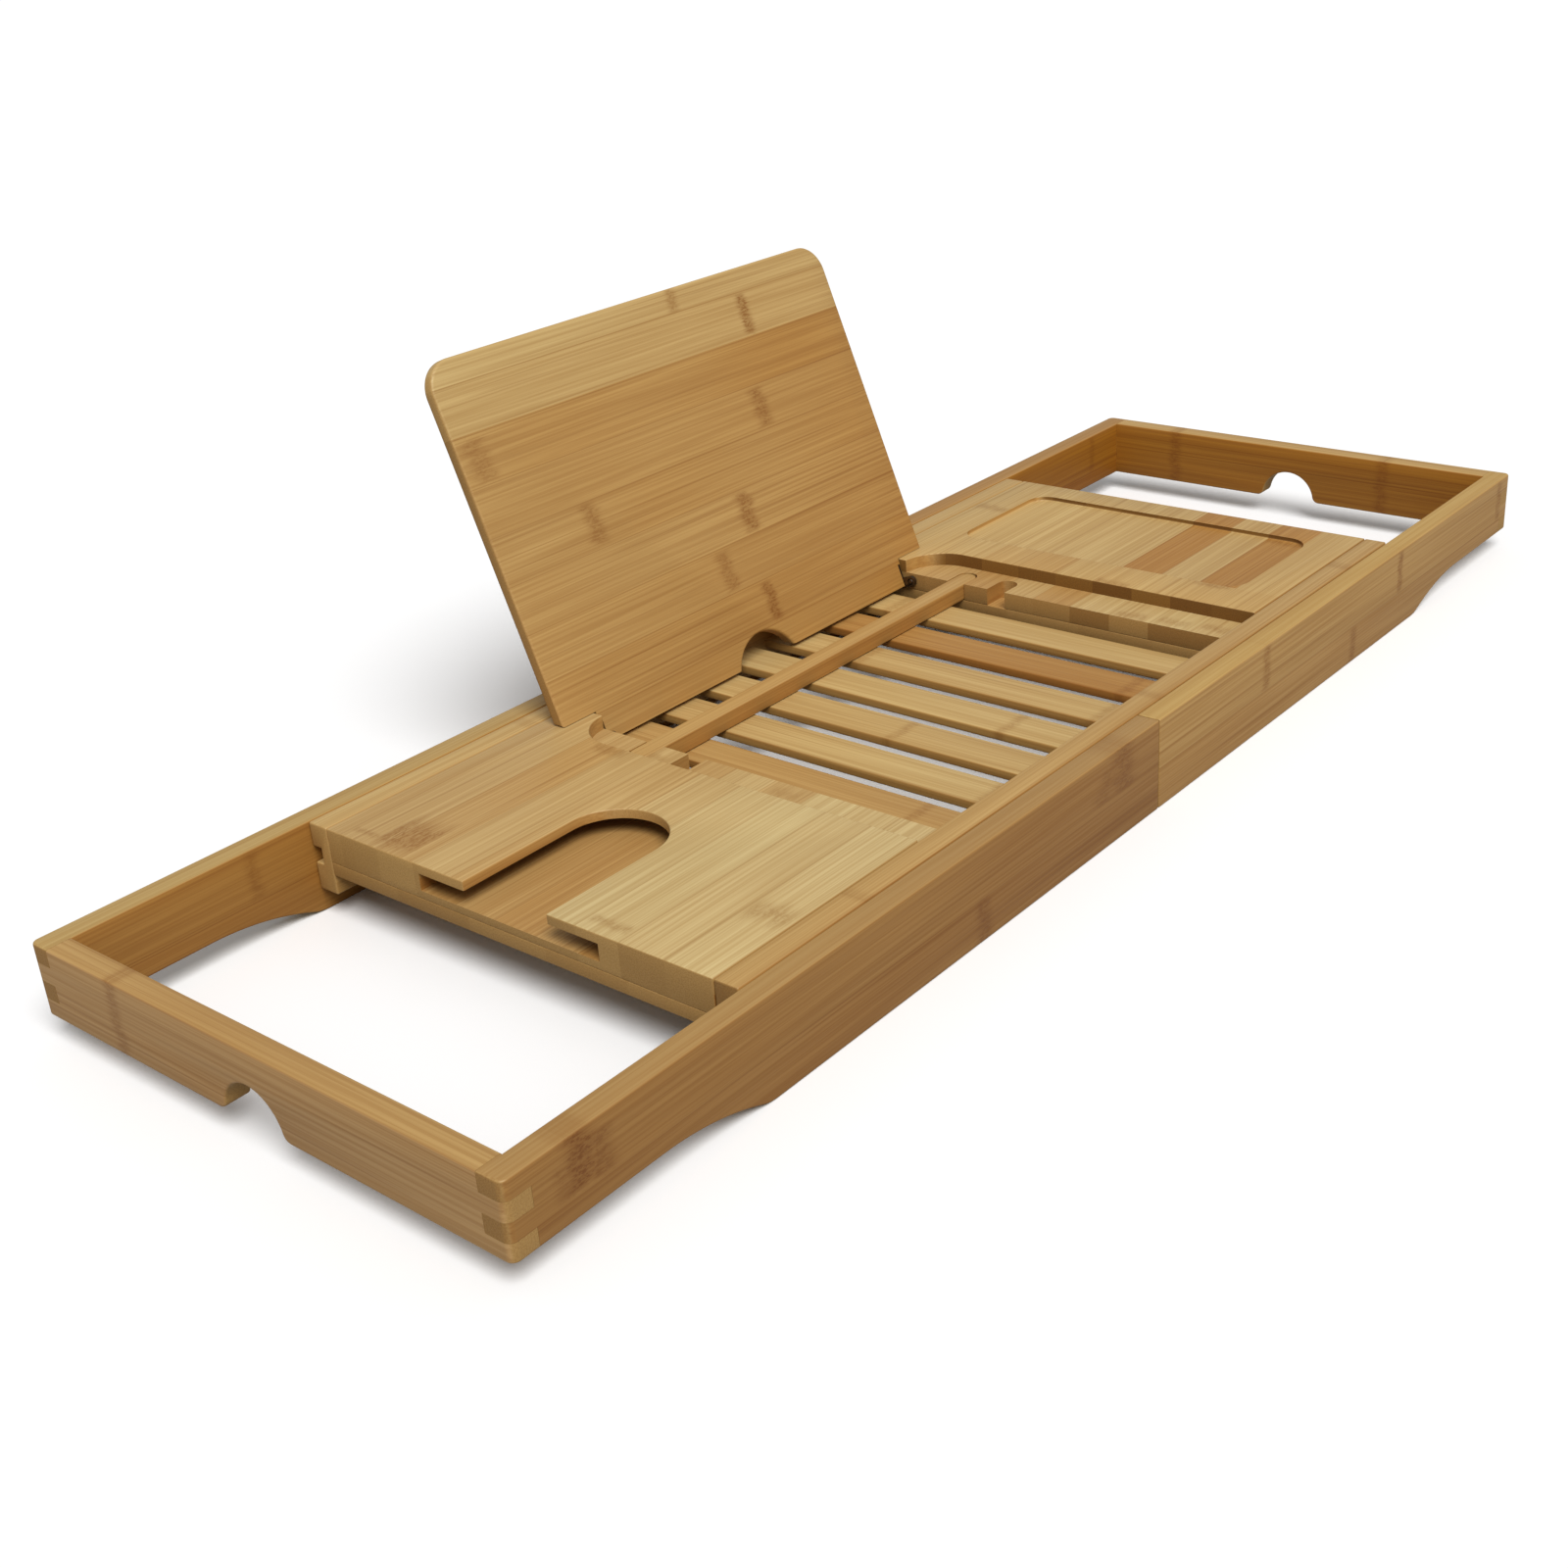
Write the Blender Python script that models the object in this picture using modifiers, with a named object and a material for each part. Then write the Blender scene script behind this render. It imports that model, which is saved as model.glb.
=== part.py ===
"""Bamboo bath caddy: a slatted tray between two U-shaped frames that slide out over the tub's rims.

Frame: +X to the right end, +Y to the far long side, +Z up. The floor is z = 0, and the
bounding box is centred on the origin, the raised book rest included. Lengths are metres.
"""
import math

import bmesh
import bpy
from mathutils import Matrix, Vector

# Clearances
JOINT_GAP = 0.0003
SLIDE_GAP = 0.0005
CUT_OVERRUN = 0.002
MERGE_DISTANCE = 0.00001

# Outer frames, closed
FRAME_LENGTH = 0.690
FRAME_WIDTH = 0.230
SIDE_THICKNESS = 0.010
END_THICKNESS = 0.010
END_HEIGHT = 0.028
MIDDLE_DROP = 0.010
DEEP_HALF_LENGTH = 0.233
DROP_KNEE_RADIUS = 0.020
DROP_HOLLOW_RADIUS = 0.117
CORNER_ROUND = 0.003
EDGE_ROUND = 0.0007
LAYER_ROUND = 0.0004

# Finger grip under each end board
GRIP_RADIUS = 0.0145
GRIP_MOUTH_ROUND = 0.0035

# Tray
TRAY_LENGTH = 0.460
TRAY_SHIFT = -0.006
RAIL_THICKNESS = 0.010
RAIL_HEIGHT = 0.028
PLATE_THICKNESS = 0.006
CORE_THICKNESS = 0.008
BASE_THICKNESS = 0.0055

# Recess in which the book rest is stored flat, and the opening over the slats
RECESS_LENGTH = 0.2444
OPENING_LENGTH = 0.206
RECESS_FROM_RAIL = 0.0178

# Slats
SLAT_WIDTH = 0.0192
SLAT_THICKNESS = 0.004
SLAT_TENON = 0.0032

# Slides: a runner in each side board rides in a rail's groove, up to a stop peg
GROOVE_HEIGHT = 0.0065
GROOVE_DEPTH = 0.0045
GROOVE_BELOW_TOP = 0.010
RUNNER_LENGTH = 0.050
RUNNER_FROM_SEAM = 0.004
PEG_DIAMETER = 0.005
PEG_SET_DEPTH = 0.0035
PEG_FROM_RAIL_END = 0.006
SCREW_HEAD_DIAMETER = 0.004
SCREW_HEAD_HEIGHT = 0.0012
SCREW_DIAMETER = 0.002
SCREW_BITE = 0.005
SCREW_PLACE_SHARES = (0.22, 0.78)

# Glass holder: a stem slot over a pocket for the foot
STEM_WIDTH = 0.041
STEM_LENGTH = 0.0735
POCKET_WIDTH = 0.088
POCKET_ROOF = 0.0038
POCKET_HEIGHT = 0.0069

# Soap dish
SOAP_LENGTH = 0.0704
SOAP_FROM_DECK_EDGE = 0.0194
SOAP_DEPTH = 0.002
SOAP_FROM_TRAY_END = 0.0156
SOAP_CORNER = 0.010

# Book stop and its two pairs of seats
STOP_WIDTH = 0.009
STOP_FROM_RECESS = 0.0283
STOP_SEAT_SPACING = 0.0223
STOP_SEAT_LENGTH = 0.014
STOP_END_GAP = 0.001

# Book rest
REST_WIDTH = 0.2417
REST_THICKNESS = 0.0055
REST_LEAN = math.radians(21)
REST_FACE_FROM_RECESS = 0.00426
REST_FRONT_GAP = 0.00545
REST_CORNER = 0.013
REST_EAR_CORNER = 0.0035
REST_EDGE_ROUND = 0.0012
REST_STORED_GAP = 0.00045
CABLE_RADIUS = 0.0194
CABLE_DEPTH = 0.0134

# Book rest hinge
LUG_THICKNESS = 0.0015
LUG_EYE_RADIUS = 0.0026
LUG_STRAP_WIDTH = 0.0042
LUG_BELOW_TOP = 0.002
PIVOT_DIAMETER = 0.0025
PIVOT_BITE = 0.005
LUG_PIN_DIAMETER = 0.002
LUG_PIN_BITE = 0.008
LUG_PIN_PLACE_SHARES = (0.22, 0.7)

# Counts and facets
FINGER_COUNT = 4
SLAT_COUNT = 7
TURN_STEPS = 16
DEGREES_PER_FACET = 7.5
SHARP_ANGLE = math.radians(40)
FLAT_ANGLE = math.radians(0.5)

# Levels and places that follow
TOP_Z = END_HEIGHT + MIDDLE_DROP
SHELF_Z = TOP_Z - PLATE_THICKNESS
SLAT_Z = SHELF_Z - CORE_THICKNESS
END_BOTTOM_Z = MIDDLE_DROP
GROOVE_Z = TOP_Z - GROOVE_BELOW_TOP - GROOVE_HEIGHT / 2
HALF_LENGTH = FRAME_LENGTH / 2
HALF_WIDTH = FRAME_WIDTH / 2
HALF_TRAY = TRAY_LENGTH / 2
SIDE_INNER_Y = HALF_WIDTH - SIDE_THICKNESS
RAIL_OUTER_Y = SIDE_INNER_Y - SLIDE_GAP
RAIL_INNER_Y = RAIL_OUTER_Y - RAIL_THICKNESS
GROOVE_FLOOR_Y = RAIL_OUTER_Y - GROOVE_DEPTH
RUNNER_INNER_Y = GROOVE_FLOOR_Y + JOINT_GAP
RUNNER_OUTER_Y = SIDE_INNER_Y - JOINT_GAP
DECK_EDGE_Y = RAIL_INNER_Y - JOINT_GAP
HALF_RECESS = RECESS_LENGTH / 2
HALF_OPENING = OPENING_LENGTH / 2
RECESS_CORNER = HALF_RECESS - HALF_OPENING
RECESS_FAR_Y = RAIL_INNER_Y - RECESS_FROM_RAIL
STOP_Y = RECESS_FAR_Y - STOP_FROM_RECESS
STOP_SPARE_Y = STOP_Y - STOP_SEAT_SPACING
REST_FACE_Y = RECESS_FAR_Y + REST_FACE_FROM_RECESS
REST_HEIGHT = RECESS_FAR_Y - REST_STORED_GAP + RAIL_INNER_Y - REST_FRONT_GAP
SOAP_WIDTH = 2 * (DECK_EDGE_Y - SOAP_FROM_DECK_EDGE)
STEM_CENTRE_X = -HALF_TRAY + STEM_LENGTH - STEM_WIDTH / 2
LUG_OUTER_X = HALF_OPENING - SLIDE_GAP
LUG_INNER_X = LUG_OUTER_X - LUG_THICKNESS
TONGUE_HALF = LUG_INNER_X - JOINT_GAP
REST_FOOT = (SLAT_Z + JOINT_GAP - TOP_Z) / math.cos(REST_LEAN)
REST_TOP = REST_FOOT + REST_HEIGHT
REST_BACK_Y = (REST_FACE_Y + REST_THICKNESS * math.cos(REST_LEAN)
               + (REST_TOP - REST_EDGE_ROUND) * math.sin(REST_LEAN))
CENTRE_Y = (REST_BACK_Y - HALF_WIDTH) / 2

ENDS = (("left", -1), ("right", 1))
SIDES = (("front", -1), ("back", 1))
UNTURNED = (0.0, 0.0, 0.0)
UPRIGHT = (math.pi / 2, 0.0, 0.0)
CROSSWISE = (math.pi / 2, 0.0, math.pi / 2)


class Body:
    """Pieces that move together, under an empty at their reference point."""

    def __init__(self, name, origin, parent=None):
        self.origin = Vector(origin)
        self.empty = bpy.data.objects.new(name, None)
        self.empty.parent = parent.empty if parent else None
        self.empty.location = self.origin - (parent.origin if parent else Vector())
        CADDY.objects.link(self.empty)


def new_collection(name):
    """Return a new collection in the scene."""
    collection = bpy.data.collections.new(name)
    bpy.context.scene.collection.children.link(collection)
    return collection


def new_material(name, colour, roughness, metallic=0.0):
    """Return a plain material."""
    material = bpy.data.materials.new(name)
    material.use_nodes = True
    shader = material.node_tree.nodes["Principled BSDF"]
    shader.inputs["Base Color"].default_value = (*colour, 1.0)
    shader.inputs["Roughness"].default_value = roughness
    shader.inputs["Metallic"].default_value = metallic
    return material


def arc(centre, radius, start, end):
    """Return points on an arc from the angle start to the angle end, in degrees."""
    steps = max(2, round(abs(end - start) / DEGREES_PER_FACET))
    angles = [math.radians(start + (end - start) * step / steps) for step in range(steps + 1)]
    return [(centre[0] + radius * math.cos(a), centre[1] + radius * math.sin(a)) for a in angles]


def mirrored(points, side):
    """Return an outline as it is for side 1, or mirrored in X for side -1."""
    if side > 0:
        return points
    return [(-x, y) for x, y in reversed(points)]


def obround(start, end, width):
    """Return a slot outline along X between two ends, with round ends, centred on y = 0."""
    r = width / 2
    return arc((end - r, 0.0), r, -90, 90) + arc((start + r, 0.0), r, 90, 270)


def rounded_rectangle(low_x, high_x, half_width, radius):
    """Return a rectangle outline with round corners, centred on y = 0."""
    near, far = low_x + radius, high_x - radius
    y = half_width - radius
    points = []
    for centre, start in (((far, y), 0), ((near, y), 90), ((near, -y), 180), ((far, -y), 270)):
        points += arc(centre, radius, start, start + 90)
    return points


def evaluated_mesh(name, holder):
    """Return an object's finished mesh, its seams joined and its faces out, and remove the object."""
    CUTTERS.objects.link(holder)
    depsgraph = bpy.context.evaluated_depsgraph_get()
    mesh = bpy.data.meshes.new_from_object(holder.evaluated_get(depsgraph))
    bpy.data.objects.remove(holder, do_unlink=True)
    mesh.name = name
    bm = bmesh.new()
    bm.from_mesh(mesh)
    bmesh.ops.remove_doubles(bm, verts=bm.verts, dist=MERGE_DISTANCE)
    bmesh.ops.dissolve_limit(bm, angle_limit=FLAT_ANGLE, verts=bm.verts, edges=bm.edges)
    bmesh.ops.recalc_face_normals(bm, faces=bm.faces)
    bm.to_mesh(mesh)
    bm.free()
    return mesh


def outline_mesh(name, points, thickness):
    """Return a board with its outline in XY and its thickness centred on z = 0."""
    curve = bpy.data.curves.new(name, "CURVE")
    curve.dimensions = "2D"
    curve.fill_mode = "BOTH"
    curve.extrude = thickness / 2
    spline = curve.splines.new("POLY")
    spline.points.add(len(points) - 1)
    for point, (x, y) in zip(spline.points, points):
        point.co = (x, y, 0.0, 1.0)
    spline.use_cyclic_u = True
    return evaluated_mesh(name, bpy.data.objects.new(name + "_curve", curve))


def turned_mesh(name, profile):
    """Return a turned solid from a profile of (radius, height), from the top down."""
    mesh = bpy.data.meshes.new(name)
    points = [(r, 0.0, z) for r, z in profile]
    mesh.from_pydata(points, [(i, i + 1) for i in range(len(points) - 1)], [])
    holder = bpy.data.objects.new(name + "_profile", mesh)
    screw = holder.modifiers.new("turn", "SCREW")
    screw.steps = TURN_STEPS
    screw.render_steps = TURN_STEPS
    screw.use_merge_vertices = True
    screw.merge_threshold = MERGE_DISTANCE
    result = evaluated_mesh(name, holder)
    result.shade_smooth()
    result.set_sharp_from_angle(angle=SHARP_ANGLE)
    return result


def pin_profile(radius, length, chamfer):
    """Return the profile of a pin that stands on z = 0, with chamfered ends."""
    return [(0.0, length), (radius - chamfer, length), (radius, length - chamfer),
            (radius, chamfer), (radius - chamfer, 0.0), (0.0, 0.0)]


def screw_profile(length):
    """Return a screw's profile: its head on z = 0, its point at the given length."""
    head, shank = SCREW_HEAD_DIAMETER / 2, SCREW_DIAMETER / 2
    return [(0.0, length), (shank / 2, length), (shank, length - shank), (shank, SCREW_HEAD_HEIGHT),
            (head, SCREW_HEAD_HEIGHT / 2), (head, 0.0), (0.0, 0.0)]


def boxes_mesh(name, boxes):
    """Return one mesh of boxes, each given by its low and high corners."""
    mesh = bpy.data.meshes.new(name)
    bm = bmesh.new()
    for low, high in boxes:
        low, high = Vector(low), Vector(high)
        place = Matrix.Translation((low + high) / 2) @ Matrix.Diagonal((*(high - low), 1.0))
        bmesh.ops.create_cube(bm, size=1.0, matrix=place)
    bm.to_mesh(mesh)
    bm.free()
    return mesh


def along(axis, sign, start):
    """Return the place of a turned piece that points along X or Y from a starting point."""
    if axis == "X":
        return Matrix.Translation(start) @ Matrix.Rotation(sign * math.pi / 2, 4, "Y")
    return Matrix.Translation(start) @ Matrix.Rotation(-sign * math.pi / 2, 4, "X")


def add_object(name, mesh, parent, location, turn, collection):
    """Add an object under a parent."""
    obj = bpy.data.objects.new(name, mesh)
    obj.parent = parent
    obj.location = location
    obj.rotation_euler = turn
    collection.objects.link(obj)
    return obj


def add_piece(name, mesh, centre, body, material, edge=EDGE_ROUND, turn=UNTURNED):
    """Add a piece to a body, with eased edges."""
    mesh.materials.append(material)
    obj = add_object(name, mesh, body.empty, Vector(centre) - body.origin, turn, CADDY)
    if edge:
        bevel = obj.modifiers.new("eased_edges", "BEVEL")
        bevel.width = edge
        bevel.segments = 1
        bevel.limit_method = "ANGLE"
        bevel.angle_limit = SHARP_ANGLE
    return obj


def add_box(name, low, high, body, material, edge=EDGE_ROUND):
    """Add a plain board between two corners."""
    low, high = Vector(low), Vector(high)
    half = (high - low) / 2
    return add_piece(name, boxes_mesh(name, [(-half, half)]), (low + high) / 2, body, material, edge)


def add_pins(name, profile, places, body, material):
    """Add one turned piece at each place, numbered where there is more than one."""
    mesh = turned_mesh(name, profile)
    mesh.materials.append(material)
    for index, place in enumerate(places):
        title = f"{name}_{index + 1}" if len(places) > 1 else name
        add_object(title, mesh, body.empty, place.translation - body.origin, place.to_euler(), CADDY)


def add_cutter(name, mesh, centre=(0.0, 0.0, 0.0), body=None, turn=UNTURNED):
    """Add a tool body that only cuts pieces."""
    body = body or ROOT
    obj = add_object(name, mesh, body.empty, Vector(centre) - body.origin, turn, CUTTERS)
    obj.hide_render = True
    obj.display_type = "WIRE"
    return obj


def cut(piece, *cutters):
    """Take each cutter away from the piece."""
    for cutter in cutters:
        boolean = piece.modifiers.new("cut_" + cutter.name, "BOOLEAN")
        boolean.operation = "DIFFERENCE"
        boolean.solver = "EXACT"
        boolean.object = cutter


def hole_cutter(name, radius, length, places, body=None):
    """Return the cutter of round holes, each from its place's origin along its Z."""
    mesh = bpy.data.meshes.new(name)
    bm = bmesh.new()
    centre = Matrix.Translation((0.0, 0.0, length / 2))
    for place in places:
        bmesh.ops.create_cone(bm, cap_ends=True, segments=TURN_STEPS, radius1=radius, radius2=radius,
                              depth=length, matrix=place @ centre)
    bm.to_mesh(mesh)
    bm.free()
    return add_cutter(name, mesh, body=body)


def side_outline():
    """Return a side board of the right frame in XZ: deep at the seam, shallow at its end."""
    reach = DROP_KNEE_RADIUS + DROP_HOLLOW_RADIUS
    lean = math.acos(1 - MIDDLE_DROP / reach)
    end_x = DEEP_HALF_LENGTH + reach * math.sin(lean)
    lean = math.degrees(lean)
    points = [(JOINT_GAP / 2, TOP_Z), (JOINT_GAP / 2, 0.0)]
    points += arc((DEEP_HALF_LENGTH, DROP_KNEE_RADIUS), DROP_KNEE_RADIUS, -90, lean - 90)
    points += arc((end_x, END_BOTTOM_Z - DROP_HOLLOW_RADIUS), DROP_HOLLOW_RADIUS, 90 + lean, 90)[1:]
    return points + [(HALF_LENGTH, END_BOTTOM_Z), (HALF_LENGTH, TOP_Z)]


def end_outline():
    """Return an end board in YZ, with the finger grip in its lower edge."""
    low = END_BOTTOM_Z
    reach = GRIP_RADIUS + GRIP_MOUTH_ROUND
    mouth_y = math.sqrt(reach ** 2 - GRIP_MOUTH_ROUND ** 2)
    lean = math.degrees(math.asin(GRIP_MOUTH_ROUND / reach))
    grip = arc((-mouth_y, low + GRIP_MOUTH_ROUND), GRIP_MOUTH_ROUND, -90, -lean)
    grip += arc((0.0, low), GRIP_RADIUS, 180 - lean, lean)[1:-1]
    grip += arc((mouth_y, low + GRIP_MOUTH_ROUND), GRIP_MOUTH_ROUND, 180 + lean, 270)
    corners = [(HALF_WIDTH, low), (HALF_WIDTH, TOP_Z), (-HALF_WIDTH, TOP_Z), (-HALF_WIDTH, low)]
    return corners + grip


def finger_rows(first_row):
    """Return the height ranges of every second finger, opened by half a joint gap each way."""
    finger = END_HEIGHT / FINGER_COUNT
    rows = []
    for row in range(first_row, FINGER_COUNT, 2):
        below = JOINT_GAP / 2 if row else CUT_OVERRUN
        above = JOINT_GAP / 2 if row < FINGER_COUNT - 1 else CUT_OVERRUN
        low = END_BOTTOM_Z + row * finger
        rows.append((low - below, low + finger + above))
    return rows


def finger_cutters(label, side):
    """Return the cutter of the side boards' fingers and that of the end board's fingers."""
    root_x = HALF_LENGTH - END_THICKNESS - JOINT_GAP
    tip_x = HALF_LENGTH + CUT_OVERRUN
    root_y = SIDE_INNER_Y - JOINT_GAP
    tip_y = HALF_WIDTH + CUT_OVERRUN
    for_sides = []
    for low, high in finger_rows(0):
        near, far = sorted((side * root_x, side * tip_x))
        for_sides.append(((near, -tip_y, low), (far, tip_y, high)))
    for_end = []
    for low, high in finger_rows(1):
        near, far = sorted((side * (root_x - CUT_OVERRUN), side * tip_x))
        for _, facing in SIDES:
            front, back = sorted((facing * root_y, facing * tip_y))
            for_end.append(((near, front, low), (far, back, high)))
    return (add_cutter(f"{label}_side_fingers", boxes_mesh("side_fingers", for_sides)),
            add_cutter(f"{label}_end_fingers", boxes_mesh("end_fingers", for_end)))


def corner_cutter(label, side, facing):
    """Return the cutter that rounds one vertical outer corner of a frame."""
    r = CORNER_ROUND
    x, y = HALF_LENGTH - r, HALF_WIDTH - r
    far_x, far_y = HALF_LENGTH + CUT_OVERRUN, HALF_WIDTH + CUT_OVERRUN
    points = arc((x, y), r, 0, 90) + [(x, far_y), (far_x, far_y), (far_x, y)]
    points = [(side * px, facing * py) for px, py in points]
    mesh = outline_mesh("corner", points, END_HEIGHT + 2 * CUT_OVERRUN)
    return add_cutter(f"{label}_corner_{facing}", mesh, (0.0, 0.0, TOP_Z - END_HEIGHT / 2))


def screw_places(side, facing, y):
    """Return the places of a runner's screws, pointing outwards from the given y."""
    return [along("Y", facing, (side * (RUNNER_FROM_SEAM + RUNNER_LENGTH * share), facing * y, GROOVE_Z))
            for share in SCREW_PLACE_SHARES]


def build_runner(title, side, facing, body):
    """Build the runner inside one side board, with sunk holes for its screws."""
    near, far = sorted((side * RUNNER_FROM_SEAM, side * (RUNNER_FROM_SEAM + RUNNER_LENGTH)))
    front, back = sorted((facing * RUNNER_INNER_Y, facing * RUNNER_OUTER_Y))
    half = GROOVE_HEIGHT / 2 - JOINT_GAP
    runner = add_box(title, (near, front, GROOVE_Z - half), (far, back, GROOVE_Z + half),
                     body, BAMBOO_HONEY, edge=LAYER_ROUND)
    start = RUNNER_INNER_Y - CUT_OVERRUN
    places = screw_places(side, facing, start)
    through = hole_cutter(title + "_holes", SCREW_DIAMETER / 2 + JOINT_GAP,
                          RUNNER_OUTER_Y - start + CUT_OVERRUN, places)
    sunk = hole_cutter(title + "_sinks", SCREW_HEAD_DIAMETER / 2 + JOINT_GAP,
                       CUT_OVERRUN + SCREW_HEAD_HEIGHT + 2 * JOINT_GAP, places)
    cut(runner, through, sunk)


def build_frame(label, side, body):
    """Build one U-shaped frame with the runners that carry it on the tray's rails."""
    side_fingers, end_fingers = finger_cutters(label, side)
    corners = {facing: corner_cutter(label, side, facing) for _, facing in SIDES}
    mesh = outline_mesh("end_board", end_outline(), END_THICKNESS)
    end_x = side * (HALF_LENGTH - END_THICKNESS / 2)
    end_board = add_piece(f"{label}_end_board", mesh, (end_x, 0.0, 0.0), body, BAMBOO_HONEY, turn=CROSSWISE)
    cut(end_board, end_fingers, *corners.values())
    screws = []
    for name, facing in SIDES:
        mesh = outline_mesh("side_board", mirrored(side_outline(), side), SIDE_THICKNESS)
        y = facing * (HALF_WIDTH - SIDE_THICKNESS / 2)
        board = add_piece(f"{label}_{name}_side_board", mesh, (0.0, y, 0.0), body, BAMBOO_HONEY,
                          turn=UPRIGHT)
        holes = hole_cutter(f"{label}_{name}_board_holes", SCREW_DIAMETER / 2 + JOINT_GAP,
                            SCREW_BITE + JOINT_GAP + CUT_OVERRUN,
                            screw_places(side, facing, SIDE_INNER_Y - CUT_OVERRUN))
        cut(board, side_fingers, corners[facing], holes)
        build_runner(f"{label}_{name}_runner", side, facing, body)
        screws += screw_places(side, facing, RUNNER_INNER_Y + JOINT_GAP)
    length = SIDE_INNER_Y - RUNNER_INNER_Y - JOINT_GAP + SCREW_BITE
    add_pins(f"{label}_runner_screw", screw_profile(length), screws, body, STEEL)


def plate_outline(has_slot):
    """Return the right deck's top plate, cut back for the stored rest, with or without a stem slot."""
    points = [(HALF_OPENING, DECK_EDGE_Y)]
    points += arc((HALF_OPENING, RECESS_FAR_Y - RECESS_CORNER), RECESS_CORNER, 90, 0)
    points += [(HALF_RECESS, -DECK_EDGE_Y), (HALF_TRAY, -DECK_EDGE_Y)]
    if has_slot:
        r = STEM_WIDTH / 2
        points += [(HALF_TRAY, -r)] + arc((-STEM_CENTRE_X, 0.0), r, -90, -270) + [(HALF_TRAY, r)]
    return points + [(HALF_TRAY, DECK_EDGE_Y)]


def layer_outline():
    """Return a lower layer of the right deck, which ends at the opening over the slats."""
    return [(HALF_OPENING, DECK_EDGE_Y), (HALF_OPENING, -DECK_EDGE_Y),
            (HALF_TRAY, -DECK_EDGE_Y), (HALF_TRAY, DECK_EDGE_Y)]


def deck_layer(name, side, outline, bottom, top, material):
    """Add one layer of an end deck between two heights."""
    mesh = outline_mesh(name, mirrored(outline, side), top - bottom)
    centre = (TRAY_SHIFT, 0.0, (bottom + top) / 2)
    return add_piece(name, mesh, centre, TRAY, material, edge=LAYER_ROUND)


def prism_cutter(name, points, bottom, top):
    """Return a cutter with an outline in the tray's own XY, between two heights."""
    mesh = outline_mesh(name, points, top - bottom)
    return add_cutter(name, mesh, (TRAY_SHIFT, 0.0, (bottom + top) / 2))


def pocket_cutter():
    """Return the cutter of the pocket for the glass's foot, open at the tray's end."""
    r = POCKET_WIDTH / 2
    mouth_x = -HALF_TRAY - CUT_OVERRUN
    points = arc((STEM_CENTRE_X, 0.0), r, -90, 90) + [(mouth_x, r), (mouth_x, -r)]
    top = TOP_Z - POCKET_ROOF
    return prism_cutter("glass_foot_pocket", points, top - POCKET_HEIGHT, top)


def soap_cutter():
    """Return the cutter of the shallow soap dish."""
    high_x = HALF_TRAY - SOAP_FROM_TRAY_END
    points = rounded_rectangle(high_x - SOAP_LENGTH, high_x, SOAP_WIDTH / 2, SOAP_CORNER)
    return prism_cutter("soap_dish", points, TOP_Z - SOAP_DEPTH, TOP_Z + CUT_OVERRUN)


def seat_cutters(label, side):
    """Return the cutters of one core's two seats for the book stop."""
    width = STOP_WIDTH + 2 * JOINT_GAP
    outline = obround(HALF_OPENING - width, HALF_OPENING + STOP_SEAT_LENGTH, width)
    cutters = []
    for use, y in (("used", STOP_Y), ("spare", STOP_SPARE_Y)):
        points = mirrored([(px, py + y) for px, py in outline], side)
        cutters.append(prism_cutter(f"{label}_{use}_seat", points, SLAT_Z - CUT_OVERRUN, TOP_Z))
    return cutters


def build_pivot_pin(label, side, core):
    """Build the pin on which one lug of the book rest turns, in a blind hole in the core."""
    length = HALF_OPENING + PIVOT_BITE - LUG_INNER_X
    places = [along("X", side, (TRAY_SHIFT + side * LUG_INNER_X, *PIVOT))]
    add_pins(f"{label}_pivot_pin", pin_profile(PIVOT_DIAMETER / 2, length, JOINT_GAP), places, TRAY, STEEL)
    cut(core, hole_cutter(f"{label}_pivot_hole", PIVOT_DIAMETER / 2 + JOINT_GAP,
                          length + JOINT_GAP, places))


def build_decks():
    """Build the glass deck at the tray's left end and the soap deck at its right end."""
    for label, side in ENDS:
        plate = deck_layer(f"{label}_top_plate", side, plate_outline(side < 0),
                           SHELF_Z + JOINT_GAP, TOP_Z, BAMBOO_LIGHT)
        core = deck_layer(f"{label}_core", side, layer_outline(), SLAT_Z + JOINT_GAP, SHELF_Z, BAMBOO_HONEY)
        deck_layer(f"{label}_bottom_board", side, layer_outline(), SLAT_Z - BASE_THICKNESS, SLAT_Z,
                   BAMBOO_HONEY)
        cut(core, *seat_cutters(label, side))
        if side < 0:
            pocket = pocket_cutter()
            cut(plate, pocket)
            cut(core, pocket)
        else:
            cut(plate, soap_cutter())
        build_pivot_pin(label, side, core)


def slat_places():
    """Return the centre of each slat, with equal gaps beside them all."""
    gap = (OPENING_LENGTH - SLAT_COUNT * SLAT_WIDTH) / (SLAT_COUNT + 1)
    first = TRAY_SHIFT - HALF_OPENING + gap + SLAT_WIDTH / 2
    return [first + index * (SLAT_WIDTH + gap) for index in range(SLAT_COUNT)]


def build_slats(rails):
    """Build the slats, with their ends in mortises in the rails."""
    tones = (BAMBOO_AMBER, BAMBOO_LIGHT, BAMBOO_LIGHT, BAMBOO_LIGHT, BAMBOO_LIGHT, BAMBOO_AMBER, BAMBOO_LIGHT)
    end_y = RAIL_INNER_Y + SLAT_TENON
    room = Vector((JOINT_GAP, JOINT_GAP, JOINT_GAP))
    mortises = []
    for index, x in enumerate(slat_places()):
        low = Vector((x - SLAT_WIDTH / 2, -end_y, SLAT_Z - SLAT_THICKNESS))
        high = Vector((x + SLAT_WIDTH / 2, end_y, SLAT_Z))
        add_box(f"slat_{index + 1}", low, high, TRAY, tones[index % len(tones)])
        mortises.append((low - room, high + room))
    cutter = add_cutter("slat_mortises", boxes_mesh("mortises", mortises))
    for rail in rails:
        cut(rail, cutter)


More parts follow.
